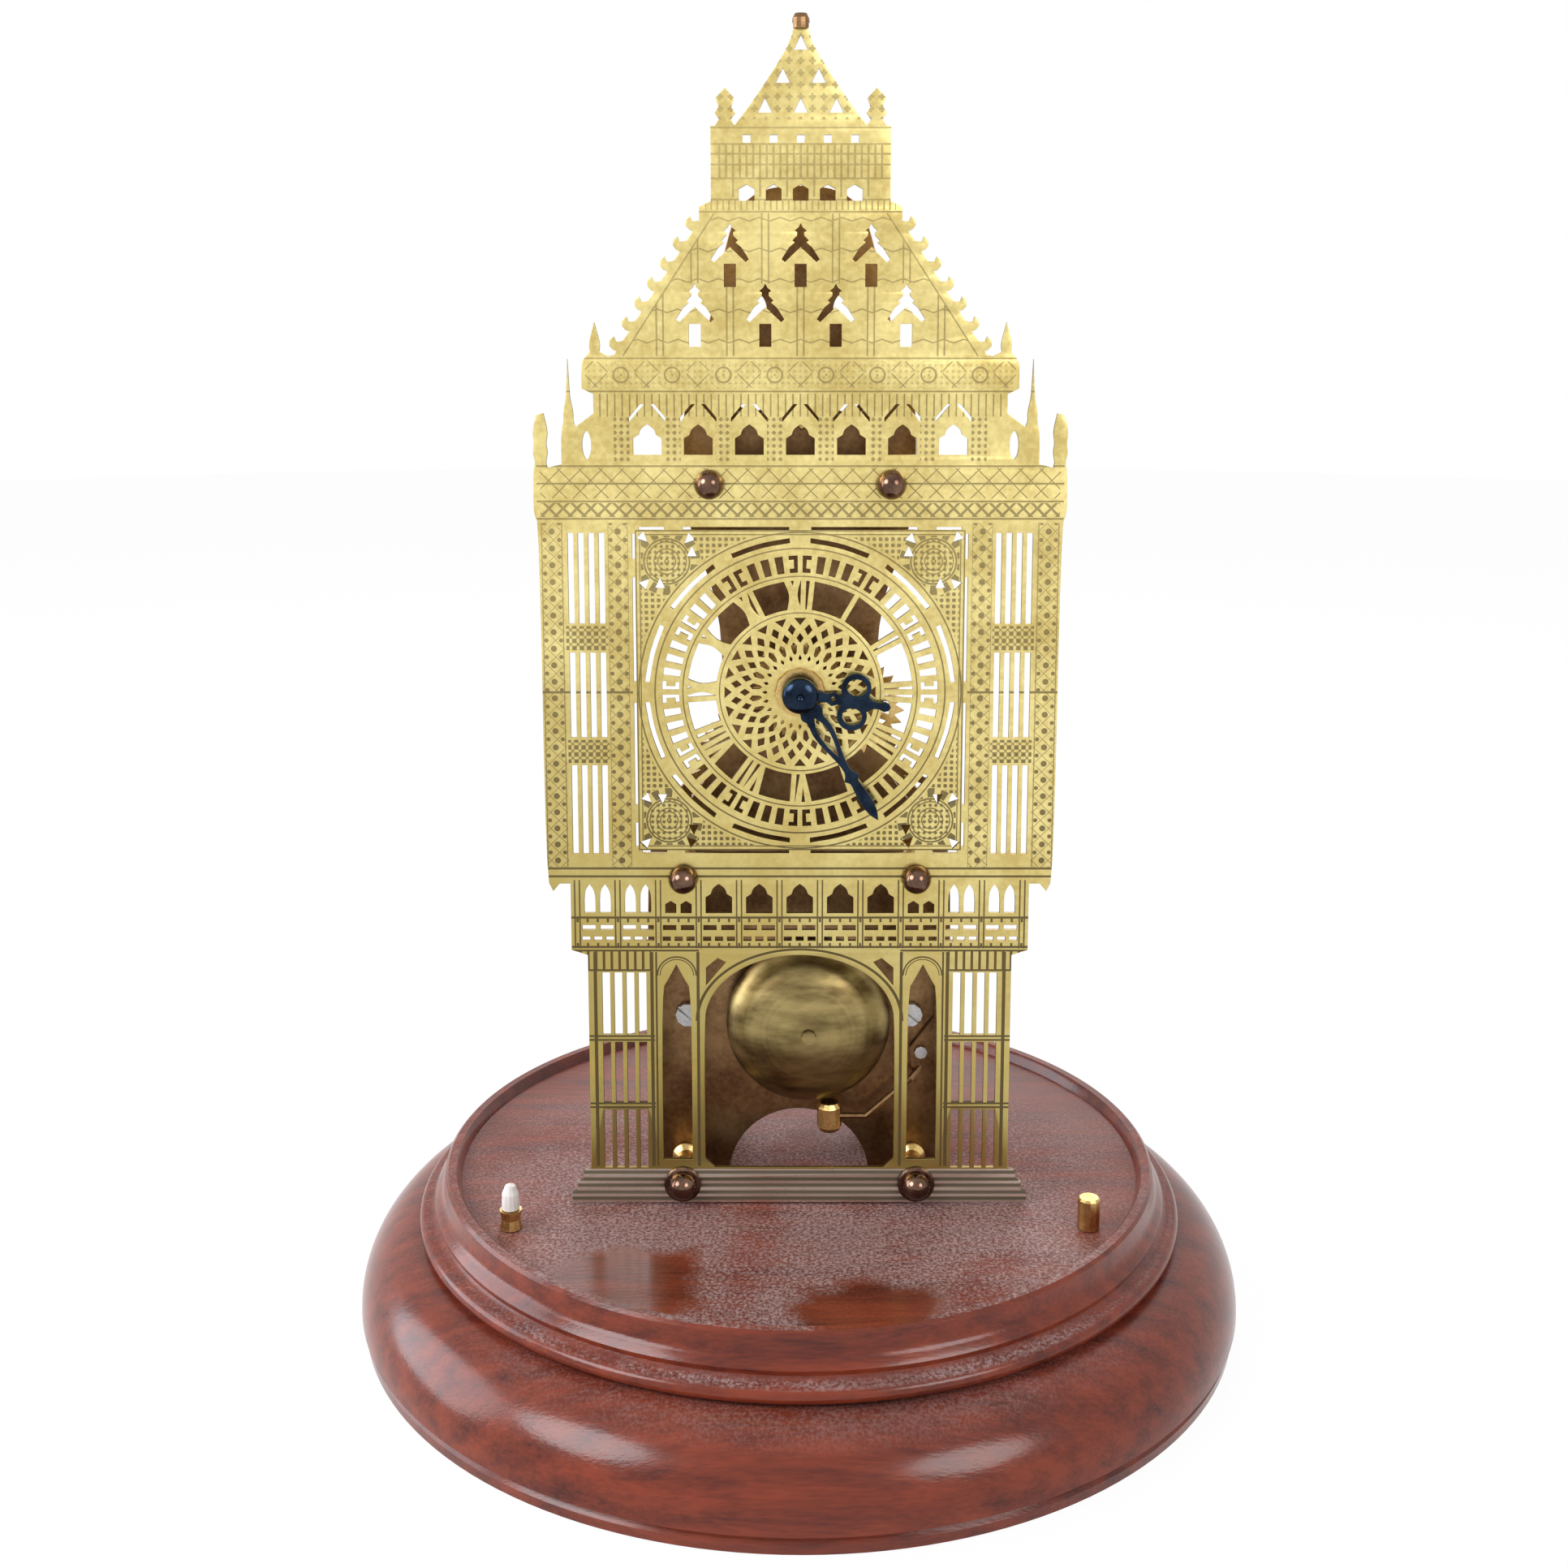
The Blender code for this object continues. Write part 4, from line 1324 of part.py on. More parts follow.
def make_hammer():
    """The hammer hangs under the bell's rim on a lever; its tail reaches up beside the snail."""
    plane = BELL_RIM_Y - HAMMER_HEAD_RADIUS * 0.6
    pivot_x, pivot_z = HAMMER_PIVOT
    offset = HAMMER_HEAD_X - BELL_X
    rim_z = BELL_Z - (BELL_RADIUS ** 2 - offset ** 2) ** 0.5
    head_top = rim_z - HAMMER_BELL_GAP
    head_low = head_top - HAMMER_HEAD_LENGTH
    steps = [(0, 1), (0.75, 1), (1, 0.85), (1, 0.15), (0.8, 0)]
    profile = [(HAMMER_HEAD_RADIUS * r, head_low + HAMMER_HEAD_LENGTH * h) for r, h in steps] + [(0, head_low)]
    head = turned("hammer_head", profile, "brass", segments=12)
    head.location = (HAMMER_HEAD_X, plane, 0)
    hole = lying_bar("hammer_hole", HAMMER_WIRE_RADIUS + CLEARANCE, HAMMER_HEAD_X - HAMMER_HEAD_RADIUS * 0.2,
                     HAMMER_HEAD_X + HAMMER_HEAD_RADIUS + OVERRUN, plane, (head_low + head_top) / 2)
    combine("DIFFERENCE", head, [hole], "brass")
    arm_y, hub = HAMMER_LEVER_Y, HAMMER_HUB_RADIUS
    wire_z = (head_low + head_top) / 2
    wire = rod("hammer_wire", HAMMER_WIRE_RADIUS, (HAMMER_HEAD_X + CLEARANCE, plane, wire_z),
               [(HAMMER_HEAD_X + 3 * HAMMER_HEAD_RADIUS, plane, wire_z),
                (pivot_x - hub, plane, pivot_z - 2 * hub),
                (pivot_x, arm_y + WHEEL_THICKNESS / 2, pivot_z - 1.5 * hub)],
               "steel", 8)
    half, bar_x = HAMMER_BAR_HALF, HAMMER_BAR_X
    tail_x = -SNAIL_RADIUS - HAMMER_TAIL_GAP - half
    bend_z = DIAL_Z - HAMMER_TAIL_DROP
    path = [(pivot_x, pivot_z - 2 * hub), (pivot_x, pivot_z), (bar_x, pivot_z + HAMMER_ELBOW_RISE),
            (bar_x, MIDDLE_POST_Z + 2 * HAMMER_ELBOW_RISE), (-tail_x, bend_z), (0, bend_z),
            (tail_x, bend_z + SNAIL_RADIUS), (tail_x, DIAL_Z)]
    arm = sheet("hammer_lever", [band(path, [2 * half, hub, half, half, half, half, half, half / 2]),
                                 circle(STUD_SHANK + CLEARANCE, HAMMER_PIVOT, 8)], WHEEL_THICKNESS, arm_y,
                "steel", HAMMER_PIVOT)
    united("hammer_lever", [arm, wire], "steel")
    front = arm_y - CLEARANCE
    cap = 2 * STUD_SHANK
    turned("hammer_stud", [(0, front - STUD_SHANK), (cap, front - STUD_SHANK), (cap, front), (STUD_SHANK, front),
                           (STUD_SHANK, FRONT_PLATE_BACK_Y), (0, FRONT_PLATE_BACK_Y)], "steel", HAMMER_PIVOT, 8)



def lying_bar(name, radius, left, right, y, z):
    """A cutter along X."""
    cutter = upright_rod(name, radius, -(right - left) / 2, (right - left) / 2, 0, 0, 8)
    cutter.rotation_euler = (0, pi / 2, 0)
    cutter.location = ((left + right) / 2, y, z)
    return cutter


def make_pegs():
    """Two pegs that centre a cover on the base, the left one with a pale cap in a brass ferrule."""
    radius, shank = PEG_RADIUS, PEG_SHANK_RADIUS
    seat, low = FLOOR_Z + CLEARANCE, FLOOR_Z - PEG_SINK + CLEARANCE
    ferrule_top = seat + PEG_HEIGHT * 0.6
    left = turned("left_peg", [(0, ferrule_top), (radius, ferrule_top), (radius * 0.85, seat + PEG_HEIGHT * 0.3),
                               (radius, seat), (shank, seat), (shank, low), (0, low)], "brass", segments=12)
    left.location = (*PEG_PLACES[0], 0)
    cap_seat = ferrule_top + CLEARANCE
    cap = turned("peg_cap", [(0, cap_seat + PEG_CAP_HEIGHT), (radius * 0.45, cap_seat + PEG_CAP_HEIGHT * 0.92),
                             (radius * 0.75, cap_seat + PEG_CAP_HEIGHT * 0.6), (radius * 0.8, cap_seat),
                             (0, cap_seat)], "pale_cap", segments=12)
    cap.location = (*PEG_PLACES[0], 0)
    right = turned("right_peg", [(0, seat + PEG_HEIGHT), (radius * 0.85, seat + PEG_HEIGHT),
                                 (radius, seat + PEG_HEIGHT * 0.94), (radius, seat), (shank, seat), (shank, low),
                                 (0, low)], "brass", segments=12)
    right.location = (*PEG_PLACES[1], 0)


def make_finial():
    """A turned bead, slotted to sit over the tip of the spire."""
    low = TIP_Z - FINIAL_HEIGHT * 0.3
    bead = turned("spire_bead", [(0, low + FINIAL_HEIGHT), (FINIAL_RADIUS * 0.7, low + FINIAL_HEIGHT),
                                 (FINIAL_RADIUS * 0.95, low + FINIAL_HEIGHT * 0.7),
                                 (FINIAL_RADIUS, low + FINIAL_HEIGHT * 0.4),
                                 (FINIAL_RADIUS, low), (0, low)], "dark_brass", segments=12)
    middle_y = SHEET_FRONT_Y + SHEET_THICKNESS / 2
    bead.location = (0, middle_y, 0)
    slot_top = TIP_Z + CLEARANCE
    slot = block("bead_slot", (4 * FINIAL_RADIUS, SHEET_THICKNESS + 2 * CLEARANCE, 2 * (slot_top - low)),
                 (0, middle_y, low), None)
    combine("DIFFERENCE", bead, [slot], "dark_brass")


def build():
    make_base()
    make_front()
    make_plates()
    make_train()
    make_escapement()
    make_barrel()
    make_motion_work()
    make_hands()
    make_bell()
    make_hammer()
    make_pegs()
    make_finial()


clear_scene()
PARTS = new_collection("skeleton_clock")
CUTTERS = new_collection("cutters")
build()
triangles = sum(len(face.vertices) - 2 for thing in PARTS.objects for face in thing.data.polygons)
print(f"{len(PARTS.objects)} pieces, {triangles} triangles")
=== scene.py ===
"""Skeleton clock: the looks of a pierced tower clock on a turned wooden base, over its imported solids."""

# %% [markdown]
# The clock's solids arrive with every piece in its real place, in metres, with the dial facing -Y.
# Everything below either gives one of them a finish, or models a finer form that stands for it.
# The box of the solids is kept, so that the finer forms can be held to the same size.

from math import atan2, cos, hypot, pi, radians, sin, tau

import bmesh
import bpy
from mathutils import Matrix, Vector


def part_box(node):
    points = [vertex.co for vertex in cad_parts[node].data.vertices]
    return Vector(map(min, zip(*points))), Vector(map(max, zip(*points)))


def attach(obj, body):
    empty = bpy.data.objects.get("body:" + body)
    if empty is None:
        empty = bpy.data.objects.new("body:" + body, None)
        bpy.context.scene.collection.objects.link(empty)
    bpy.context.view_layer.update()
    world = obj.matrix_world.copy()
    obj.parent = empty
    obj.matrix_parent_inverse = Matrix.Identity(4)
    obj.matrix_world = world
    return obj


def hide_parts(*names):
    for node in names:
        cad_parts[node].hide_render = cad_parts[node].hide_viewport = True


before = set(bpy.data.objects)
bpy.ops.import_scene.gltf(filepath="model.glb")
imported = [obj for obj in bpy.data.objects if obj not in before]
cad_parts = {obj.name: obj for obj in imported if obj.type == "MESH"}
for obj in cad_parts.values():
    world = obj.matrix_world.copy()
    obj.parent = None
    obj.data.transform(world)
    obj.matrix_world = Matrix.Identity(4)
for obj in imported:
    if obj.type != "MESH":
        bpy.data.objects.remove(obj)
bpy.context.view_layer.update()
mm = 0.001

# %% [markdown]
# A brass surface is a sum of small causes: the metal, its tarnish, the lines that were etched in it, the dust.
# Written as nodes by hand, each of these takes a dozen links. Here a socket is wrapped so that Python's own
# + - * / build the Math nodes, and one method makes any other node. A finish is then a few lines of arithmetic.

# %% Arithmetic on sockets
class Wire:
    """An output socket that takes part in Python arithmetic."""

    def __init__(self, finish, socket):
        self.finish, self.socket = finish, socket

    def join(self, operation, *others, flip=False):
        """Add a Math node; flip puts this value last."""
        values = [self, *others]
        return self.finish.node("Math", {"operation": operation}, *(values[::-1] if flip else values))

    def __add__(self, other):
        return self.join("ADD", other)

    def __sub__(self, other):
        return self.join("SUBTRACT", other)

    def __rsub__(self, other):
        return self.join("SUBTRACT", other, flip=True)

    def __mul__(self, other):
        return self.join("MULTIPLY", other)

    def __truediv__(self, other):
        return self.join("DIVIDE", other)

    def __gt__(self, other):
        return self.join("GREATER_THAN", other)

    def __lt__(self, other):
        return self.join("LESS_THAN", other)

    def __abs__(self):
        return self.join("ABSOLUTE")

    def __pow__(self, other):
        return self.join("POWER", other)

    __radd__ = __add__
    __rmul__ = __mul__

    def most(self, other):
        return self.join("MAXIMUM", other)

    def least(self, other):
        return self.join("MINIMUM", other)


class Finish:
    """A material under construction, with one method for every kind of node."""

    def __init__(self, name):
        self.material = bpy.data.materials.new(name)
        self.material.use_nodes = True
        self.nodes, self.links = self.material.node_tree.nodes, self.material.node_tree.links
        self.shader = self.nodes["Principled BSDF"]
        self.spot = self.node("TexCoord", {}, out="Object")
        axes = self.node("SeparateXYZ", {}, self.spot, out=None)
        self.x, self.y, self.z = (Wire(self, axes.outputs[axis]) for axis in "XYZ")

    def node(self, kind, settings, *values, out=0, **named):
        """Add a node with its settings, and feed its sockets by order or by name."""
        made = self.nodes.new("ShaderNode" + kind)
        for key, value in settings.items():
            setattr(made, key, value)
        for key, value in [*enumerate(values), *((name.replace("_", " "), value) for name, value in named.items())]:
            self.feed(made.inputs[key], value)
        return made if out is None else Wire(self, made.outputs[out])

    def feed(self, socket, value):
        """Link a wire to a socket, or set the socket to a number or a colour."""
        if isinstance(value, Wire):
            self.links.new(value.socket, socket)
        elif hasattr(socket.default_value, "__len__") and len(socket.default_value) == 4 and len(value) == 3:
            socket.default_value = (*value, 1)
        else:
            socket.default_value = value

    def set(self, **named):
        """Feed sockets of the surface shader by name."""
        for name, value in named.items():
            self.feed(self.shader.inputs[name.replace("_", " ")], value)
        return self

    def noise(self, size, detail=3.0, rough=0.55, stretch=(1, 1, 1)):
        """Clouds with features of about that size in metres, from 0 to 1."""
        spot = self.node("Mapping", {}, self.spot, Scale=stretch)
        return self.node("TexNoise", {}, Vector=spot, Scale=1 / size, Detail=detail, Roughness=rough)

    def between(self, value, low, high):
        """A number that rises from 0 at one level to 1 at the other."""
        return self.node("MapRange", {}, Value=value, From_Min=low, From_Max=high)

    def mix(self, share, first, second):
        """Blend two colours, all of the second at a share of 1."""
        mixer = self.node("Mix", {"data_type": "RGBA"}, out=None)
        for place, value in ((0, share), (6, first), (7, second)):
            self.feed(mixer.inputs[place], value)
        return Wire(self, mixer.outputs[2])

    def relief(self, height, depth):
        """A bumpy normal from heights of 0 to 1 and the depth of 1 in metres."""
        return self.node("Bump", {}, Height=height, Distance=depth, Strength=1.0)


print("finishes are built from", Wire.__name__, "and", Finish.__name__)

# %% [markdown]
# Plain brass in such a clock was polished and then left for decades, so it is not one yellow: warm brown tarnish
# gathers in clouds, and fine hairlines from old polishing cross it. Two sizes of noise give the clouds, and a
# noise squeezed along one axis gives the hairlines, which only change the roughness.

# %% Metals
def metal(name, bright, dull, rough, cloud=9 * mm, hairline=0.08, relief=0.012 * mm):
    """A metal between two colours, in clouds, with hairlines in its gloss."""
    finish = Finish(name)
    clouds = finish.noise(cloud, 4.0)
    specks = finish.noise(cloud / 12, 2.0)
    lines = finish.noise(cloud / 6, 2.0, stretch=(1, 1, 14))
    share = finish.between(clouds * 0.7 + specks * 0.3, 0.36, 0.64)
    colour = finish.mix(share, dull, bright)
    gloss = rough + (clouds - 0.5) * 0.16 + (lines - 0.5) * hairline
    return finish.set(Base_Color=colour, Roughness=gloss, Metallic=1.0,
                      Normal=finish.relief(lines * 0.6 + specks * 0.4, relief))


brass = metal("turned_brass", (0.80, 0.58, 0.24), (0.44, 0.27, 0.09), 0.26)
steel = metal("grey_steel", (0.60, 0.60, 0.61), (0.33, 0.31, 0.30), 0.28)
arbor_steel = metal("arbor_steel", (0.52, 0.51, 0.50), (0.30, 0.28, 0.26), 0.22, cloud=3 * mm)
blued = metal("blued_steel", (0.022, 0.038, 0.066), (0.008, 0.012, 0.022), 0.16, cloud=5 * mm)
dark_nut = metal("dark_polished_brass", (0.21, 0.125, 0.085), (0.07, 0.036, 0.026), 0.09, cloud=4 * mm, hairline=0.04)
# on the movement plates this dark brown is painted shade and reflection of the wood; on the lever and spire bead it is
# their brown tone
old_brass = metal("brown_brass_with_painted_shade", (0.34, 0.21, 0.10), (0.15, 0.075, 0.035), 0.34, cloud=14 * mm)
print("metals:", [done.material.name for done in (brass, steel, arbor_steel, blued, dark_nut, old_brass)])

# %% [markdown]
# The bell is cast in bell metal and turned, and it was never lacquered. It is olive brown, and the lathe left soft
# rings round its axis. The rings follow the distance from the axis, so that distance is worked out from x and z.

# %% Bell metal
bell_low, bell_high = (Vector(corner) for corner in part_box("bell"))
bell_x, bell_z = (bell_low.x + bell_high.x) / 2, (bell_low.z + bell_high.z) / 2
bell_metal = Finish("bell_metal")
reach = ((bell_metal.x - bell_x) ** 2 + (bell_metal.z - bell_z) ** 2) ** 0.5
rings = bell_metal.node("TexNoise", {"noise_dimensions": "1D"}, W=reach, Scale=1 / (1.6 * mm), Detail=3.0)
clouds = bell_metal.noise(9 * mm, 5.0, stretch=(0.45, 1, 1.5))
tarnish = bell_metal.between(clouds * 0.9 + rings * 0.1, 0.38, 0.62)
dark_olive, rubbed_olive = (0.13, 0.09, 0.035), (0.38, 0.29, 0.12)
bell_metal.set(Base_Color=bell_metal.mix(tarnish, dark_olive, rubbed_olive), Metallic=1.0,
               Roughness=0.36 + (rings - 0.5) * 0.1 + (clouds - 0.5) * 0.2,
               Normal=bell_metal.relief(rings * 0.4 + clouds, 0.03 * mm))
print("bell axis at", round(bell_x / mm, 1), round(bell_z / mm, 1))

# %% [markdown]
# The base is polished mahogany with a red brown glow at its mouldings. Its sunk floor has gathered pale mauve dust
# for years, except where a finger or a cloth has wiped it. Dust lies only on what faces up, so the mask starts from
# the surface's own normal. Noise, two wiped patches and distance to the sides thin it out; its thinning towards the
# back is painted reflection of the tower. Where dust lies, the gloss is gone as well.

# %% Dusty mahogany
rim_height = 3.0 * mm
floor_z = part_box("base")[1][2] - rim_height
mahogany = Finish("dusty_mahogany")
dark_grain, red_glow = (0.052, 0.0075, 0.0045), (0.180, 0.028, 0.010)
thin_dust, thick_dust = (0.115, 0.050, 0.042), (0.36, 0.25, 0.24)
grain = mahogany.noise(5 * mm, 5.0, stretch=(0.12, 1, 1))
pores = mahogany.noise(0.7 * mm, 2.0, stretch=(0.1, 1, 1))
wood = mahogany.mix(mahogany.between(grain * 0.7 + pores * 0.3, 0.30, 0.62), dark_grain, red_glow)
facing = mahogany.node("TexCoord", {}, out="Normal")
level = mahogany.between(mahogany.node("SeparateXYZ", {}, facing, out=2), 0.72, 0.97)
upper = mahogany.between(mahogany.z, 26 * mm, 33 * mm)
up = level * (0.28 + upper * 0.72)
drift = mahogany.noise(26 * mm, 4.0)
wide_drift = mahogany.noise(38 * mm, 3.0)
speckle = mahogany.noise(0.9 * mm, 3.0, 0.7)


def patch(x, y, radius):
    """A soft round mask on the floor, with an edge that the drift makes uneven."""
    away = (((mahogany.x - x) ** 2 + (mahogany.y - y) ** 2) ** 0.5) / radius + (drift - 0.5) * 1.6
    return mahogany.between(away, 1.1, 0.7)


wiped = patch(-45 * mm, -71 * mm, 22 * mm).most(patch(15 * mm, -88 * mm, 19 * mm))
# painted reflection: less dust and more gloss towards the back, where the tower is reflected dark in the floor
painted_reflection_behind = mahogany.between(mahogany.y, 0.0, 45 * mm)
aside = mahogany.between(abs(mahogany.x), 52 * mm, 88 * mm)
cover = mahogany.between(wide_drift * 0.4 + drift * 0.25 + speckle * 0.35, 0.40, 0.56)
dust_and_painted_reflection = (up * cover * (1 - wiped * 0.95) * (1 - painted_reflection_behind * 0.8) * (1 - aside * 0.65)).least(0.8)
dust_tint = mahogany.mix(mahogany.between(speckle, 0.4, 0.62), thin_dust, thick_dust)
dull = up * (1 - wiped * 0.9) * (1 - painted_reflection_behind * 0.5) * (1 - aside * 0.3)
mahogany.set(Base_Color=mahogany.mix(dust_and_painted_reflection, wood, dust_tint),
             Roughness=0.2 + dull * 0.5 + (grain - 0.5) * 0.08,
             Coat_Weight=(1 - dull) * (1 - up * aside) * 0.22,
             Normal=mahogany.relief(pores * (1 - dust_and_painted_reflection) + speckle * dust_and_painted_reflection, 0.06 * mm),
             Coat_Roughness=0.14, Specular_IOR_Level=0.24)
print("floor of the base at", round(floor_z / mm, 1), "mm")

# %% [markdown]
# New pieces all end the same way: loose points are merged, the mesh gets a name and a finish, it rides on a body
# of the clock, and the solid it stands for is hidden. One helper does that, so that no piece misses a step.

# %% Ending a piece
def finished(name, shape, finish, body, stands_for=(), slot=None, smooth=35):
    """Turn a bmesh into a piece of the clock."""
    bmesh.ops.remove_doubles(shape, verts=shape.verts, dist=0.001 * mm)
    bmesh.ops.recalc_face_normals(shape, faces=shape.faces)
    mesh = bpy.data.meshes.new(name)
    shape.to_mesh(mesh)
    shape.free()
    mesh.shade_smooth()
    mesh.set_sharp_from_angle(angle=radians(smooth))
    piece = bpy.data.objects.new(name, mesh)
    bpy.context.scene.collection.objects.link(piece)
    mesh.materials.append(finish.material)
    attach(piece, body)
    for node in stands_for:
        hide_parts(node)
    return piece


def dress(finish, *nodes):
    """Give solids that keep their shape a finish."""
    for node in nodes:
        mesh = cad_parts[node].data
        mesh.materials.clear()
        mesh.materials.append(finish.material)


print("helpers ready:", finished.__name__, dress.__name__)

# %% [markdown]
# Every post, nut, pillar and the base itself came off a lathe. A lathe piece is a profile swept round an axis,
# which is what spin does: the profile is laid in the plane through the axis, and a full turn is merged at its seam.

# %% Turning on the lathe
def lathe(profile, centre, axis="Y", steps=32):
    """Spin (radius, distance) points round an upright or a lying axis, as a bmesh."""
    shape = bmesh.new()
    along, across, middle = Vector((0, 1, 0) if axis == "Y" else (0, 0, 1)), Vector((1, 0, 0)), Vector(centre)
    points = [shape.verts.new(middle + across * radius + along * distance) for radius, distance in profile]
    edges = [shape.edges.new(pair) for pair in zip(points, points[1:])]
    bmesh.ops.spin(shape, geom=points + edges, cent=middle, axis=along, angle=tau, steps=steps, use_merge=True)
    return shape


def rounded(profile, amount, steps=3):
    """Round the corners of a profile with short chords that start that far from each of them."""
    soft = [profile[0]]
    for before, corner, after in zip(profile, profile[1:], profile[2:]):
        a, b, c = (Vector(point) for point in (before, corner, after))
        room = min(amount, (a - b).length * 0.45, (c - b).length * 0.45)
        start, end = b + (a - b).normalized() * room, b + (c - b).normalized() * room
        for i in range(steps + 1):
            share = i / steps
            soft.append(tuple(start * (1 - share) ** 2 + b * 2 * share * (1 - share) + end * share ** 2))
    return soft + [profile[-1]]


print("a rounded square corner has", len(rounded([(0, 1), (1, 1), (1, 0)], 0.2)), "points")

# %% [markdown]
# The base was turned from one wide blank. From the floor outwards come the raised rim, a cove that sweeps out and
# down past a fine ridge to a bead, and the broad quarter-round that carries the clock, over a thin foot. The same
# sizes as the solid are used, with curves in place of its few flats, and 160 steps make the edge look round.

# %% Turned base
def arc(first, last, step):
    """Angles in radians from whole degrees, the last one included when a step ends on it."""
    return [radians(angle) for angle in range(first, last + (1 if step > 0 else -1), step)]


base_radius, rim_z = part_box("base")[1][0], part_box("base")[1][2]
rim_out, rim_in, bead_out, foot_z, bead_foot = 101.0 * mm, 97.2 * mm, 108.4 * mm, 4.0 * mm, 27.0 * mm
eased, bead_r = 0.8 * mm, 2.1 * mm
profile = [(0, floor_z), (rim_in - eased, floor_z), (rim_in, rim_z - eased), (rim_in + eased, rim_z),
           (rim_out - eased, rim_z), (rim_out, rim_z - eased)]
cove_wide, cove_deep = bead_out - bead_r - rim_out, rim_z - bead_foot - 2 * bead_r
ridge = {38: 0.4, 44: 1.0, 50: 1.1, 56: 0.5}  # how far in mm the ridge stands out at these degrees of the cove
for angle in range(14, 90, 6):
    turn = radians(angle)
    profile.append((rim_out + cove_wide * (1 - cos(turn)) + ridge.get(angle, 0) * mm, rim_z - cove_deep * sin(turn)))
profile += [(bead_out - bead_r + bead_r * cos(turn), bead_foot + bead_r + bead_r * sin(turn))
            for turn in arc(84, -90, -16)]
swell_foot, swell = foot_z + 1.6 * mm, base_radius - (bead_out - bead_r - eased)
profile += [(base_radius - swell * (1 - cos(turn)), swell_foot + (bead_foot - eased - swell_foot) * sin(turn))
            for turn in arc(90, 0, -6)]
profile += [(base_radius - 1.6 * mm, foot_z), (base_radius - eased, foot_z - eased),
            (base_radius - 1.0 * mm, 0.7 * mm), (base_radius - 1.9 * mm, 0), (0, 0)]
base = finished("turned_base", lathe(profile, (0, 0, 0), "Z", 160), mahogany, "clock_frame", ["base"], "mahogany")
print("base has", len(base.data.polygons), "faces, radius", round(base_radius / mm, 1))

# %% [markdown]
# The tower front is the show piece: one brass plate, sawn through in hundreds of places and then etched. The solid
# already has its outline and its larger openings, so its own front face is read back as closed loops, and the finer
# piercing is added to them: the minute ring, the rosette, the brick slots, the corner fretwork, the dormers. A flat
# curve with holes, filled and given its thickness, is how a saw-pierced plate is drawn, and every opening is exact.

# %% Loops of the front plate
def front_loops(node, facing=-1):
    """Read the closed outlines of the face of a flat solid that looks along Y, as lists of (x, z)."""
    shape = bmesh.new()
    shape.from_mesh(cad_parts[node].data)
    bmesh.ops.remove_doubles(shape, verts=shape.verts, dist=0.002 * mm)
    shape.normal_update()
    rims = [edge for edge in shape.edges if sum(face.normal.y * facing > 0.9 for face in edge.link_faces) == 1]
    beside = {}
    for edge in rims:
        for vert in edge.verts:
            beside.setdefault(vert, []).append(edge.other_vert(vert))
    loops, seen = [], set()
    for first in beside:
        if first in seen:
            continue
        loop, before, now = [], None, first
        while now not in seen:
            seen.add(now)
            loop.append((now.co.x, now.co.z))
            before, now = now, next((vert for vert in beside[now] if vert is not before and vert not in seen), now)
        loops.append(loop)
    shape.free()
    return loops


def middle_of(loop):
    """The mean of the points of a loop."""
    return sum(x for x, z in loop) / len(loop), sum(z for x, z in loop) / len(loop)


tower_loops = front_loops("front_sheet")
dial_z = (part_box("dial_bush")[0][2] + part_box("dial_bush")[1][2]) / 2


def softened(loop, sharp=40):
    """Cut the blunt corners of a closed outline twice, as they are chords of curves, but no sharp ones."""
    for _ in range(2):
        cut = []
        for (ax, az), (bx, bz), (cx, cz) in zip(loop[-1:] + loop, loop, loop[1:] + loop[:1]):
            turn = abs((atan2(cz - bz, cx - bx) - atan2(bz - az, bx - ax) + pi) % tau - pi)
            if turn > radians(sharp):
                cut.append((bx, bz))
            else:
                cut += [(bx + (ax - bx) / 4, bz + (az - bz) / 4), (bx + (cx - bx) / 4, bz + (cz - bz) / 4)]
        loop = cut
    return loop


def redrawn(loop):
    """Whether an opening of the solid gets a finer outline below: those of the rosette and of the dormers."""
    x, z = middle_of(loop)
    dormer = abs(x) < 32 * mm and 268.5 * mm < z < 304 * mm
    rosette = 7 * mm < hypot(x, z - dial_z) < 21 * mm
    most_corners = 40  # rings and the outline of the plate have more
    return len(loop) <= most_corners and (dormer or rosette)


def crocketed(loop):
    """Draw the slopes of the roof straight, with a curled leaf at every step, in place of the solid's saw teeth."""
    on_slope = [269.5 * mm < z < 306.2 * mm and 25.5 * mm < abs(x) < 49.9 * mm for x, z in loop]
    begin = on_slope.index(False)
    loop, on_slope = loop[begin:] + loop[:begin], on_slope[begin:] + on_slope[:begin]
    leaf = [(0.2, 0), (1.5, 0.1), (1.3, 1.2), (1.6, 2.3), (2.6, 3.0), (3.7, 2.7), (3.1, 1.9), (3.4, 1.0), (4.3, 0.1)]
    foot, slope, leaves = Vector((47.4, 269.4)) * mm, Vector((-23.0, 35.0)) * mm, 7
    upwards, outwards = slope.normalized(), Vector((35.0, 23.0)).normalized()
    chain = []
    for step in range(leaves):
        for u, v in leaf:
            spot = foot + slope * (step / leaves) + (upwards * u + outwards * v) * mm
            chain.append((spot.x, spot.y))
    drawn = []
    for i, (x, z) in enumerate(loop):
        if not on_slope[i]:
            drawn.append((x, z))
        elif not on_slope[i - 1]:
            flip, from_the_foot = (1 if x > 0 else -1), z < 287 * mm
            drawn += [(flip * a, b) for a, b in (chain if from_the_foot else reversed(chain))]
    return drawn


kept = [softened(loop) for loop in tower_loops if not redrawn(loop)]
outline = max(kept, key=len)
kept[kept.index(outline)] = crocketed(outline)
print("loops in the solid:", len(tower_loops), "kept:", len(kept), "dial height", round(dial_z / mm, 1))

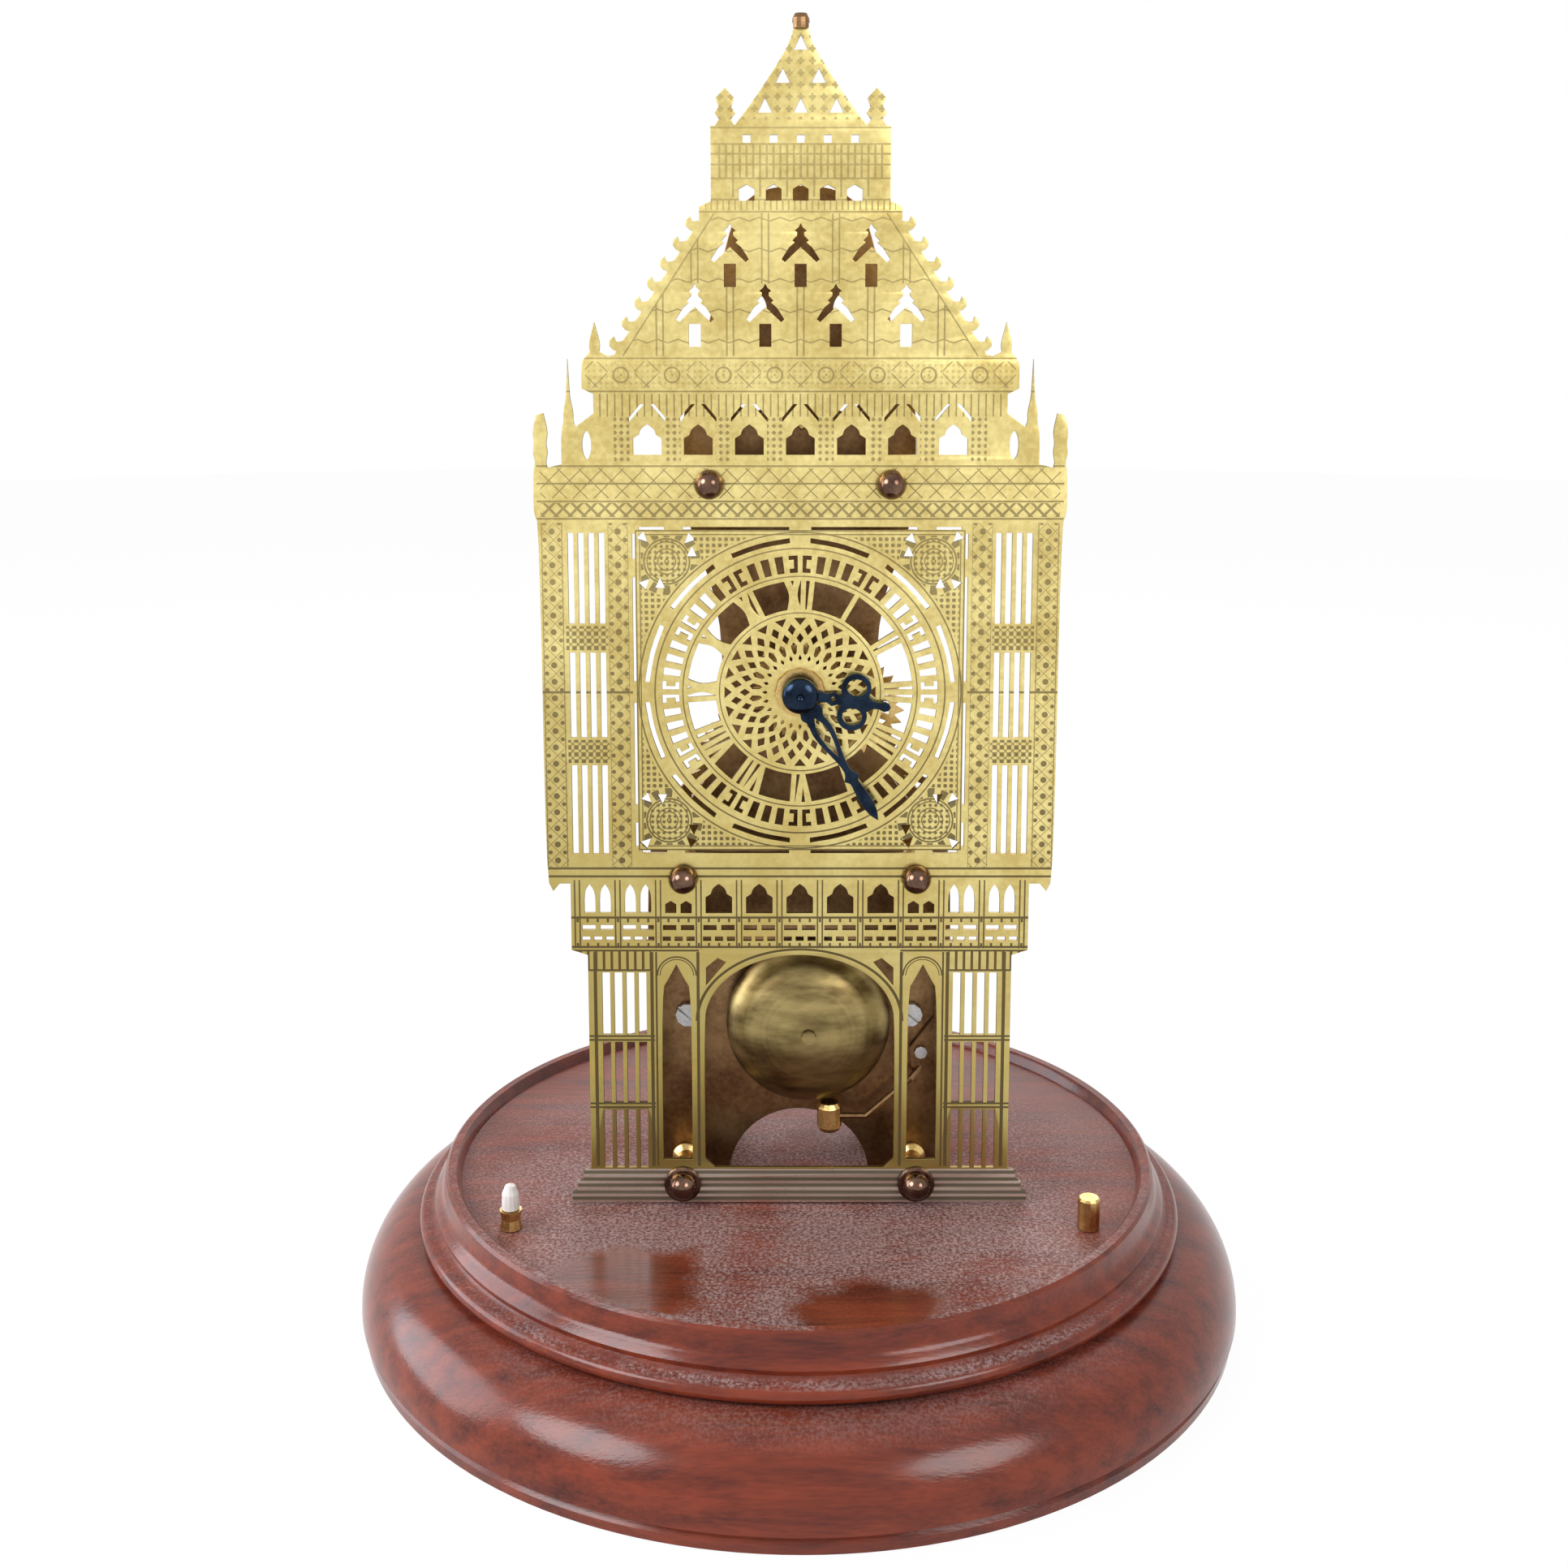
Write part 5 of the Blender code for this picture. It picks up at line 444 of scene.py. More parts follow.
# %% [markdown]
# Every ornament of the dial repeats round its centre, so one small outline in polar form, a radius and a share of
# the step, is enough for a whole ring. The rosette is five such rings that interlock like scales, and the minute
# ring is sixty slots, of which the two beside every fifth minute are sawn as brackets.

# %% Dial piercing
def polar(radius, angle):
    """A point of the plate from a radius and an angle round the dial."""
    return radius * cos(angle), dial_z + radius * sin(angle)


def ring_of(count, outline, offset=0.0):
    """Repeat an outline of (radius in mm, share of the step) round the dial."""
    step = tau / count
    return [[polar(radius * mm, pi / 2 + step * (i + offset + share)) for radius, share in outline]
            for i in range(count)]


petals, minutes = 24, 60
dial_cuts = ring_of(petals, [(20.1, -0.38), (20.1, 0.38), (17.5, 0)])
dial_cuts += ring_of(petals, [(18.6, 0), (16.9, 0.3), (14.9, 0), (16.9, -0.3)], 0.5)
dial_cuts += ring_of(petals, [(16.2, 0), (14.5, 0.32), (12.7, 0), (14.5, -0.32)])
dial_cuts += ring_of(petals, [(13.7, 0), (12.6, 0.31), (10.5, 0.25), (9.7, 0), (10.5, -0.25), (12.6, -0.31)], 0.5)
dial_cuts += ring_of(petals, [(10.5, 0), (9.1, 0.3), (8.1, 0), (9.1, -0.3)])
ring_in, ring_out, edge, notch = 31.5, 36.4, 0.34, 0.36
slot_shape = [(ring_in, -edge), (ring_in, edge), (ring_out, edge), (ring_out, -edge)]
bracket = [(ring_in, -0.38), (ring_in, notch), (33.0, notch), (33.0, 0.02), (34.9, 0.02), (34.9, notch),
           (ring_out, notch), (ring_out, -0.38)]
mirrored = [(radius, -share) for radius, share in reversed(bracket)]
for minute in range(minutes):
    shape_of = {0: mirrored, 4: bracket}.get(minute % 5, slot_shape)
    dial_cuts.append([polar(radius * mm, pi / 2 - tau / minutes * (minute + 0.5 - share))
                      for radius, share in shape_of])
print("dial cuts:", len(dial_cuts))

# %% [markdown]
# In each corner of the dial's square, a round medallion sits in fretwork of small triangles. Under the arcade, two
# rows of slots are laid like bricks; over the belfry's windows stand pairs of slanting cuts; the lantern has five
# little squares; the roof has two rows of dormers, each a stepped gable over a door. Each is a short outline in mm,
# placed by a loop that steps along the plate and mirrors it.

# %% Fretwork piercing
def boxed(x, z, half, tall):
    """A small upright rectangle about a middle, in mm."""
    return [((x - half) * mm, (z - tall) * mm), ((x + half) * mm, (z - tall) * mm),
            ((x + half) * mm, (z + tall) * mm), ((x - half) * mm, (z + tall) * mm)]


def placed(outline, x, z, turn=0.0):
    """An outline in mm, turned about its own origin and set at (x, z)."""
    return [((x + a * cos(turn) - b * sin(turn)) * mm, (z + a * sin(turn) + b * cos(turn)) * mm)
            for a, b in outline]


fret = []
bay_pitch, belfry_pitch, dormer_pitch = 10.8, 13.1, 17.9
dial_mm, medal_x, square_edge = dial_z / mm, 34.6, 41.0
tooth = [(0, 2.1), (-1.7, -1.4), (1.7, -1.4)]
slant = [(0.3, 1.0), (1.9, 1.0), (4.9, -2.6), (4.9, -4.4)]
for flip in (-1, 1):
    for up in (-1, 1):
        teeth = []
        for reach, turn in ((8.6, radians(45)), (8.1, radians(135)), (8.1, radians(-45))):
            x, z = medal_x + reach * cos(turn), medal_x + reach * sin(turn)
            teeth.append(placed(tooth, min(x, square_edge), dial_mm + min(z, square_edge), turn + pi / 2))
        for x, z in ((medal_x, 26.3), (26.3, medal_x)):
            teeth.append(placed(tooth, x + 1.8, dial_mm + z + 2.4))
        fret += [[(flip * a, dial_z + up * (b - dial_z)) for a, b in drawn] for drawn in teeth]
    for bay in range(0 if flip > 0 else 1, 6):
        middle = bay * bay_pitch
        fret += [boxed(flip * (middle + off), 117.8, 2.0, 0.9) for off in (-2.4, 2.4)]
        fret += [boxed(flip * (middle + off), 114.7, 1.3, 0.8) for off in (-3.2, 0, 3.2)]
    for window in range(0 if flip > 0 else 1, 4):
        for hand in (-1, 1):
            fret.append([((flip * window * belfry_pitch + hand * a) * mm, (256.4 + b) * mm) for a, b in slant])
fret += [boxed(x, 323.3, 1.2, 1.2) for x in (-13.6, -6.8, 0, 6.8, 13.6)]
gable = [(0, 0), (0.7, -1.3), (1.9, -2.3), (1.1, -2.8), (1.1, -3.4), (2.4, -4.7), (1.8, -5.2), (3.1, -6.3),
         (5.1, -9.4), (4.0, -10.4), (0, -6.6)]
gable += [(-x, z) for x, z in reversed(gable[1:-1])]
upper_row = [(x, 303.0) for x in (-dormer_pitch, 0, dormer_pitch)]
lower_row = [(x, 288.0) for x in (-26.9, -dormer_pitch / 2, dormer_pitch / 2, 26.9)]
for x, top in upper_row + lower_row:
    fret += [placed(gable, x, top), boxed(x, top - 13.4, 1.75, 3.1)]
print("fretwork cuts:", len(fret))

# %% [markdown]
# The finish of the front carries the etching. On the real plate an acid drew hair-wide dark lines between the
# openings: seams and scales on the roof, lozenges along the cornice, dots down the strips beside the dial. Each is
# a small rule in x and z, a stripe that repeats, limited to the band of the tower it belongs to. All lengths in
# these rules are in mm: side is the distance from the middle of the tower, and rise the height over the table.

# %% Rules for etched lines
gilt = Finish("etched_gilt_brass")
side, rise = abs(gilt.x) * (1 / mm), gilt.z * (1 / mm)
past_the_edge = 99.0


def stripes(value, pitch, width, shift=0.0):
    """1 on lines of that width that repeat along a value."""
    return abs((value + shift).join("WRAP", pitch / 2, -pitch / 2)) < width / 2


def zone(low, high, inner=0.0, outer=past_the_edge):
    """1 inside a band of heights and of distances from the middle."""
    return (rise > low) * (rise < high) * (side > inner) * (side < outer)


def near(value, target, half):
    """1 on a line, half as wide on each side of a target."""
    return abs(value - target) < half


def levels(*heights, width=0.3):
    """Level lines at some heights."""
    marks = near(rise, heights[0], width / 2)
    for height in heights[1:]:
        marks = marks.most(near(rise, height, width / 2))
    return marks


def lozenges(pitch, width):
    """Crossing diagonals."""
    return stripes(side + rise, pitch, width).most(stripes(side - rise, pitch, width))


def waves(value, pitch):
    """Shallow scallops along a value, 0 at their tips and half the pitch between them."""
    return abs(value.join("WRAP", pitch / 2, -pitch / 2))


def crosses(pitch, width):
    """Small plus signs on a square grid."""
    across, upright = waves(side, pitch), waves(rise, pitch)
    bars = (across < width).most(upright < width)
    return bars * (across < pitch * 0.3) * (upright < pitch * 0.3)


def apart(x, z):
    """The distance of a point of the plate from (x, z) and its mirror image."""
    return ((side - x) ** 2 + (rise - z) ** 2) ** 0.5


etched = []
print("rules ready:", [rule.__name__ for rule in (stripes, zone, near, levels, lozenges, waves, crosses, apart)])

# %% [markdown]
# The roof has slates between seams, laid in scalloped courses, and a line along each slope. The seams of the lower
# row of dormers stand half a step aside from those of the upper row. The spire and the lantern over it have small
# crosses, bars and levels.

# %% Roof, lantern and spire
roof_foot, roof_head, upper_dormers, lean, hair = 269.4, 305, 287.6, 0.658, 0.22
seam_place = side + (rise < upper_dormers) * (dormer_pitch / 2)
seams = near(waves(seam_place - dormer_pitch / 2, dormer_pitch), 0.85, hair)
courses = stripes(rise + waves(side, 5.2) * 0.35, 7.6, 0.34)
drawn_in = (rise - 269) * lean
slope = abs(side - (49.1 - drawn_in) + 3.6) < hair
etched += [zone(roof_foot, roof_head) * (courses.most(seams) * (side < 45.6 - drawn_in)).most(slope),
           zone(305.8, 308.2, 0, 24) * stripes(side, 1.5, 0.4), levels(305.4, 308.4, width=0.4)]
lantern_foot, lantern_head, lantern_half = 313.6, 322.0, 21.5
etched += [zone(lantern_foot, lantern_head, 0, lantern_half) * stripes(side, 1.7, 0.55),
           levels(lantern_foot, 317.0, 319.6, lantern_head, 326.0, width=0.4),
           zone(309, lantern_foot, 0, 22) * stripes(side - 3.4, 6.8, 0.5)]
etched.append(zone(328, 350) * crosses(2.9, 0.34))
print("rules so far:", len(etched))

# %% [markdown]
# Under the roof runs a frieze of scrolls and lozenges over a row of flutes, then the belfry with crosses between
# its windows, then the cornice with two rows of lozenges, a wide one and a fine one.

# %% Frieze, belfry and cornice
frieze_half, belfry_half, cornice_half, scroll_z = 55, 52, 67, 264.6
scroll = (waves(side - belfry_pitch / 2, belfry_pitch) ** 2 + (rise - scroll_z) ** 2) ** 0.5
etched += [zone(261.0, 268.4, 0, frieze_half) * (abs(waves(scroll, 1.9)) < 0.24) * (scroll < 3.6),
           zone(261.4, 268.0, 0, frieze_half) * lozenges(belfry_pitch / 2, 0.4) * (waves(side, belfry_pitch) < 2.9),
           zone(261.2, 268.2, 0, frieze_half) * crosses(1.5, 0.16) * 0.6, levels(260.4, 268.8, width=0.4)]
between_windows = waves(side - belfry_pitch / 2, belfry_pitch) < 2.0
etched += [zone(254, 259.8, 0, belfry_half) * stripes(side, 1.9, 0.4),
           zone(242.5, 254, 0, belfry_half) * between_windows * crosses(1.7, 0.24)]
etched += [zone(233.0, 240.8, 0, cornice_half) * lozenges(5.4, 0.4),
           zone(228.2, 231.8, 0, cornice_half) * lozenges(3.6, 0.9),
           levels(227.7, 232.2, 236.8, 241.3, width=0.45) * zone(226, 243, 0, cornice_half + 1)]
print("rules so far:", len(etched))

# %% [markdown]
# Down both sides of the dial run two strips of dots, a large one and a small one in turn, in a frame of fine
# diagonals. Between the side windows lie two bands of crosses.

# %% Strips beside the dial
strips_foot, strips_head, dot_pitch = 134.6, 226.6, 4.4
inner, outer = zone(strips_foot, strips_head, 44.6, 49.8), zone(strips_foot, strips_head, 61.4, 67.2)
off_strip = (abs(side - 47.2) * inner).most(abs(side - 64.3) * outer)
large = (off_strip ** 2 + waves(rise, dot_pitch) ** 2) ** 0.5 < 0.8
small = ((off_strip - 1.9) ** 2 + waves(rise - dot_pitch / 2, dot_pitch) ** 2) ** 0.5 < 0.55
frames = near(off_strip, 2.6, 0.15).most(lozenges(dot_pitch, 0.26))
etched.append(inner.most(outer) * large.most(small).most(frames * 0.8))
window_bands = zone(193.2, 199.6, 50, 61).most(zone(163.0, 169.2, 50, 61))
etched += [window_bands * crosses(1.9, 0.3).most(lozenges(1.9, 0.3)),
           levels(182.0, width=0.6) * zone(180, 184, 43.8, 68), levels(134.2, 132.0, 120.6, 112.4, width=0.6)]
print("rules so far:", len(etched))

# %% [markdown]
# The arcade is divided into bays by double lines. In the lower storey lines stand beside the windows and over the
# heads of the lancets and of the big arch, flutes run over the side windows, and the plinth is ruled into steps.

# %% Arcade, lower storey and plinth
bay_lines = stripes(side - bay_pitch / 2, bay_pitch, 1.7) * (1 - stripes(side - bay_pitch / 2, bay_pitch, 0.9))
etched += [zone(112, 131) * bay_lines,
           zone(112.4, 113.5).most(zone(119.3, 120.4)) * stripes(side, bay_pitch / 4, 0.6)]
lancet_x, lancet_edge, window_edge, storey_head = 33.0, 27.3, 39.7, 111.4
posts = near(side, window_edge, 0.45).most(near(side, 54.9, 0.45)).most(near(side, lancet_edge, 0.4)).most(
    near(side, 38.5, 0.25))
etched += [zone(50, 111) * posts, zone(105.9, 111.2, 39.9) * stripes(side, 2.1, 0.7)]
head = apart(lancet_x, 104.4)
etched += [near(head, 5.2, 0.2).most(near(head, 4.5, 0.12)) * zone(104.4, 111),
           levels(storey_head, width=0.5) * (side > 27), levels(105.9, width=0.5) * (side > 39.9),
           levels(87.3, 86.2, 68.1, 67.0, width=0.5) * (side > 39)]
arch_z, arch_half, arch_rise = 91.6, 25.9, 18.9
arch_edge = ((side / arch_half) ** 2 + ((rise - arch_z) / arch_rise) ** 2) ** 0.5
etched += [near(arch_edge, 1.065, 0.016) * zone(arch_z, 112), levels(48.2, 46.2, 44.4, 42.4, 40.6, width=1.0)]
print("rules so far:", len(etched))

# %% [markdown]
# Round the dial a square frame holds circles, and each of its corners a medallion: a round of crosses, ringed by
# wedges, in a field of crosses. The maximum of all the rules is then one mask, 1 where the acid has bitten.

# %% Dial and medallions
dial_up = abs(rise - dial_z / mm)
square, on_dial = side.most(dial_up), zone(137, 227)
away = (side ** 2 + dial_up ** 2) ** 0.5
circles = near(away, 38.0, 0.2).most(near(away, 30.7, 0.16)).most(near(away, 21.1, 0.16)).most(near(away, 42.2, 0.2))
medal = ((side - medal_x) ** 2 + (dial_up - medal_x) ** 2) ** 0.5
medals = near(medal, 5.9, 0.22).most((medal < 5.6) * crosses(1.5, 0.22).most(near(waves(medal, 2.8), 0.5, 0.15)))
bearing = gilt.node("Math", {"operation": "ARCTAN2"}, dial_up - medal_x, side - medal_x)
wedge_step, wedge_wide = tau / 14, tau / 26
wedges = (medal > 6.3) * (medal < 8.8) * stripes(bearing, wedge_step, wedge_wide, 0.22) * (square < 41.3)
field = (away > 43.0) * (square < 41.4) * (medal > 9.0) * crosses(1.6, 0.34)
etched += [near(square, 42.6, 0.18).most(near(square, 41.6, 0.14)) * on_dial,
           on_dial * circles.most(medals).most(field).most(wedges * (away > 42.8))]
etch = etched[0]
for rule in etched[1:]:
    etch = etch.most(rule)
print("etching:", len(etched), "rules in", len(gilt.nodes), "nodes")

# %% [markdown]
# Under the etching the plate is bright lemon gold high up and browner olive low down, in clouds that vary at random,
# and painted shade darkens it towards the left. The steps at its foot carry a paler painted highlight. The walls of
# the sawn openings were never polished, and are brown. The etched lines are darker, duller and a little sunk. Their
# relief stays small, a few hundredths of a millimetre, because a deeper one would flicker at the lines' own width.

# %% Colour of the front
low_olive, high_lemon, brown_wear = (0.38, 0.31, 0.10), (0.88, 0.74, 0.31), (0.52, 0.37, 0.10)
painted_highlight_steps, unpolished, bitten = (0.92, 0.89, 0.80), (0.16, 0.10, 0.035), (0.07, 0.045, 0.018)
clouds, fine = gilt.noise(17 * mm, 4.0), gilt.noise(1.4 * mm, 3.0)
# painted shade: the x term darkens the plate towards the left, where less light falls; height and clouds set the rest
painted_shade_and_height_share = gilt.between(rise + gilt.x * 480 + (clouds - 0.5) * 60, 60, 190)
gilt_with_painted_shade = gilt.mix(painted_shade_and_height_share, low_olive, high_lemon)
worn = gilt.mix(gilt.between(clouds * 0.6 + fine * 0.4, 0.38, 0.62), brown_wear, gilt_with_painted_shade)
# painted highlight: the plinth's steps are mixed 80 percent towards a pale colour
toned = gilt.mix(zone(38.5, 49.2) * 0.8, gilt.mix(0.65, gilt_with_painted_shade, worn), painted_highlight_steps)
depth = gilt.between(rise, 330, 110) * 0.4 + 0.5
frontal = abs(gilt.node("SeparateXYZ", {}, gilt.node("TexCoord", {}, out="Normal"), out=1))
walls = gilt.between(frontal, 0.8, 0.4)
gilt.set(Base_Color=gilt.mix(etch * depth, gilt.mix(walls * 0.8, toned, unpolished), bitten),
         Metallic=1.0 - etch * 0.25,
         Roughness=0.3 + etch * 0.3 + walls * 0.15 + (clouds - 0.5) * 0.14 + (fine - 0.5) * 0.08,
         Normal=gilt.relief(1 - etch + fine * 0.12, 0.05 * mm))
print("front finish:", gilt.material.name)

# %% [markdown]
# With loops and finish ready, the plate itself is one flat curve: outline and holes together, given its thickness
# and a narrow rounding of all its edges, which catches the light as the filed edges of the real plate do. It is
# made a mesh before it is stood up, so that its place ends in its points. The real bars are a little stouter than
# the solid's, so the curve's own offset widens them.

# %% Pierced plate
def sawn_plate(name, loops, front_y, back_y, edge, finish, body, stands_for, slot, grow=0.0, smooth=25):
    """Fill a flat curve with holes, widen its bars by grow, thicken it, stand it up and make it a piece."""
    curve = bpy.data.curves.new(name, "CURVE")
    curve.dimensions, curve.fill_mode = "2D", "BOTH"
    curve.extrude, curve.bevel_depth, curve.bevel_resolution = (back_y - front_y) / 2 - edge, edge, 1
    curve.offset = grow - edge
    for loop in loops:
        spline = curve.splines.new("POLY")
        spline.points.add(len(loop) - 1)
        for point, (x, z) in zip(spline.points, loop):
            point.co = (x, z, 0, 1)
        spline.use_cyclic_u = True
    flat = bpy.data.objects.new(name + "_flat", curve)
    bpy.context.scene.collection.objects.link(flat)
    bpy.context.view_layer.update()
    mesh = bpy.data.meshes.new_from_object(flat.evaluated_get(bpy.context.evaluated_depsgraph_get()))
    bpy.data.objects.remove(flat)
    shape = bmesh.new()
    shape.from_mesh(mesh)
    bmesh.ops.rotate(shape, verts=shape.verts, cent=(0, 0, 0), matrix=Matrix.Rotation(pi / 2, 3, "X"))
    bmesh.ops.translate(shape, verts=shape.verts, vec=(0, (front_y + back_y) / 2, 0))
    return finished(name, shape, finish, body, stands_for, slot, smooth=smooth)


sheet_front, sheet_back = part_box("front_sheet")[0][1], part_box("front_sheet")[1][1]
tower = sawn_plate("tower_front", kept + dial_cuts + fret, sheet_front, sheet_back, 0.08 * mm, gilt, "clock_frame",
                   ["front_sheet"], "gilt", grow=0.22 * mm)
print("tower front:", len(tower.data.polygons), "faces, box", [round(v / mm, 1) for v in tower.dimensions])

# %% [markdown]
# Six posts carry the pierced front, each with a stud that ends in a domed nut, and six pillars hold the two plates
# of the movement apart. The nuts are small dark mirrors, so their domes need a true curve rather than facets. The
# ends come from the solids' own boxes, and only the profile between them is drawn here.

# %% Posts, pillars and domed nuts
def axis_of(node):
    """The middle of a turned solid in x and z, and where it begins and ends along y."""
    low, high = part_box(node)
    return ((low[0] + high[0]) / 2, 0, (low[2] + high[2]) / 2), low[1], high[1]


plate_front, plate_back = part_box("front_plate")[0][1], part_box("front_plate")[1][1]
plate_thick, gap, shoulder, tenon = 2 * mm, 0.3 * mm, 3.8 * mm, 1.3 * mm
rear_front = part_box("pillar_top_left")[1][1] - plate_thick
rear_back = rear_front + plate_thick
first, last = sheet_back + gap, plate_front - gap
middle = (first + last) / 2
waist, swelling, ring = 2.3 * mm, 2.6 * mm, 3.4 * mm
pillar_head, pillar_waist = 4.2 * mm, 2.7 * mm
dome_r, seat_r, washer_r, bore = 3.9 * mm, 3.7 * mm, 5.0 * mm, 1.7 * mm
rows = [f"{row}_{hand}" for row in ("top", "middle", "lower") for hand in ("left", "right")]
for row in rows:
    centre, start, end = axis_of("post_" + row)
    neck = [(0, start), (1.4 * mm, start), (1.4 * mm, first), (shoulder, first), (shoulder, first + 1.0 * mm),
            (waist, first + 2.2 * mm), (swelling, middle - 1.4 * mm), (ring, middle - 0.8 * mm),
            (ring, middle + 0.8 * mm), (swelling, middle + 1.4 * mm), (waist, last - 2.2 * mm),
            (shoulder, last - 1.0 * mm), (shoulder, last), (tenon, last), (tenon, end), (0, end)]
    finished("turned_post_" + row, lathe(rounded(neck, 0.3 * mm, 2), centre), brass, "clock_frame", ["post_" + row],
             "brass")

    centre, start, end = axis_of("nut_" + row)
    has_washer = "lower" in row
    seat = end - (0.8 * mm if has_washer else 0)
    nut = [(dome_r * sin(turn), seat - (seat - start) * cos(turn)) for turn in arc(0, 84, 7)]
    nut += [(dome_r, seat - 0.25 * mm), (seat_r, seat)]
    if has_washer:
        nut += [(washer_r - 0.2 * mm, seat), (washer_r, seat + 0.2 * mm), (washer_r, end)]
    else:
        nut.append((seat_r, end))
    nut += [(bore, end), (bore, start + 1.9 * mm), (0, start + 1.9 * mm)]
    finished("domed_nut_" + row, lathe(nut, centre), dark_nut, "clock_frame", ["nut_" + row], "dark_brass", smooth=50)

    centre, start, end = axis_of("pillar_" + row)
    foot = rear_front - gap
    pillar = [(0, start), (pillar_head, start), (pillar_head, start + 1.2 * mm), (pillar_waist, start + 3.0 * mm),
              (2.9 * mm, (start + foot) / 2), (pillar_waist, foot - 3.0 * mm), (pillar_head, foot - 1.2 * mm),
              (pillar_head, foot), (tenon, foot), (tenon, end), (0, end)]
    finished("turned_pillar_" + row, lathe(rounded(pillar, 0.3 * mm, 2), centre), brass, "clock_frame",
             ["pillar_" + row], "brass")
print("posts, nuts and pillars for", len(rows), "places")

# %% [markdown]
# Both hands were sawn from steel, filed to rounded edges and heated until they turned blue. The minute hand's
# outline is read from its solid and its corners cut twice, which turns straight chords into curves, as a file does.
# The hour hand has an open clover that the solid only hints at, so it is drawn here from arcs and keeps the
# solid's bore. The nut over them is a dome with a small dimple.

# %% Blued hands
def clover(turn, bore):
    """The hour hand: a waisted stem, two open round lobes, and a short blunt tip, pointing along turn."""
    lobe = [(14.3 + 3.9 * cos(a), 3.7 + 3.9 * sin(a)) for a in arc(215, -30, -15)]
    half = [(4.4, 1.6), (7.2, 1.1), (8.6, 1.9), (10.0, 1.3), *lobe, (19.3, 1.0), (21.0, 0.8), (22.4, 1.3), (23.5, 0.9)]
    hub = [(-4.4 * cos(a), 4.4 * sin(a)) for a in arc(-60, 60, 20)]
    tip = (24.0, 0)
    eyes = [[(14.4 + 2.7 * cos(a), flip * (3.9 + 2.3 * sin(a))) for a in arc(0, 359, 24)] for flip in (-1, 1)]
    diamond = [(7.9, 0), (8.7, 0.8), (9.5, 0), (8.7, -0.8)]
    outlines = [hub + half + [tip] + [(u, -v) for u, v in reversed(half)], *eyes, diamond]
    return [bore] + [[((u * cos(turn) - v * sin(turn)) * mm, dial_z + (u * sin(turn) + v * cos(turn)) * mm)
                      for u, v in outline] for outline in outlines]


hour_angle = radians(90 - 99)  # the hour hand points 99 degrees past twelve
for node, body in (("hour_hand", "hour_group"), ("minute_hand", "minute_group")):
    low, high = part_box(node)
    loops = [softened(loop, 75) for loop in front_loops(node)]
    if node == "hour_hand":
        hub_bore = min(loops, key=lambda loop: hypot(middle_of(loop)[0], middle_of(loop)[1] - dial_z))
        loops = clover(hour_angle, hub_bore)
    hand = sawn_plate("blued_" + node, loops, low[1], high[1], 0.16 * mm, blued, body, [node], "blued_steel",
                      grow=0.05 * mm)
    print(node, len(hand.data.polygons), "faces")
centre, start, end = axis_of("hand_nut")
nut_r, skirt, hole = 4.8 * mm, end - 0.4 * mm, 1.8 * mm
dome = [(0, start + 0.7 * mm), (0.6 * mm, start + 0.6 * mm)]
dome += [(nut_r * sin(turn), skirt - (skirt - start) * cos(turn)) for turn in arc(12, 90, 6)]
dome += [(nut_r - 0.1 * mm, end), (hole, end), (hole, end - 1.6 * mm), (0, end - 1.6 * mm)]
finished("domed_hand_nut", lathe(dome, centre, steps=40), blued, "minute_group", ["hand_nut"], "blued_steel", 50)
print("hand nut radius", round(nut_r / mm, 1))

# %% [markdown]
# The bell is a shallow bowl that faces forwards, thin at the rim. One closed profile holds its outer face, the rim
# and its inner face, and the lathe helper sweeps it round the bell's own axis.

# %% Bell
centre, crown, rim = axis_of("bell")
hammer_room = 0.3 * mm  # so that the hammer's head clears the rim when it strikes
bell_r, wall = (bell_high.x - bell_low.x) / 2 - hammer_room, 1.2 * mm
deep, turns = rim - crown, arc(16, 90, 5)
outer = [(bell_r * sin(turn), rim - deep * cos(turn)) for turn in turns]
inner = [((bell_r - wall) * sin(turn), rim - (deep - wall) * cos(turn)) for turn in reversed(turns)]
hole = 1.5 * mm
bell_shape = [(hole, crown), (3.4 * mm, crown)] + outer + inner + [(hole, crown + wall), (hole, crown)]
finished("turned_bell", lathe(bell_shape, centre, steps=96), bell_metal, "clock_frame", ["bell"], "old_brass", 50)
print("bell radius", round(bell_r / mm, 1), "depth", round(deep / mm, 1))

# %% [markdown]
# The two movement plates are plain shaped brass; their dark brown is painted shade and reflection of the wood.
# Their outlines are read from the faces that have no studs on them, the chords of their curves are rounded, and
# their edges get the same small filed rounding as the front. The balance spring is held by a stud on the inner
# side of the back plate, which is turned on its own.

# %% Movement plates
# painted shade: the plates take the dark brown brass for the shade and the wood they reflect
for node, facing, back in (("front_plate", -1, plate_back), ("back_plate", 1, rear_back)):
    loops = [softened(loop, 50) for loop in front_loops(node, facing)]
    plate = sawn_plate("shaped_" + node, loops, back - plate_thick, back, 0.15 * mm, old_brass, "clock_frame", [node],
                       "brass", smooth=15)
    print(node, len(loops) - 1, "holes,", len(plate.data.polygons), "faces")
spring_low, spring_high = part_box("balance_spring")
wheel_low, wheel_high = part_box("balance_wheel")
stud_r = 0.8 * mm
stud_place = (spring_high[0] + 0.4 * mm + stud_r, 0, (wheel_low[2] + wheel_high[2]) / 2)
stud_end = rear_front - 0.05 * mm
stud = [(0, spring_low[1]), (stud_r, spring_low[1]), (stud_r, stud_end), (0, stud_end)]
finished("balance_spring_stud", lathe(rounded(stud, 0.2 * mm, 2), stud_place, steps=16), brass, "clock_frame")
print("balance spring stud at x", round(stud_place[0] / mm, 1), "z", round(stud_place[2] / mm, 1))

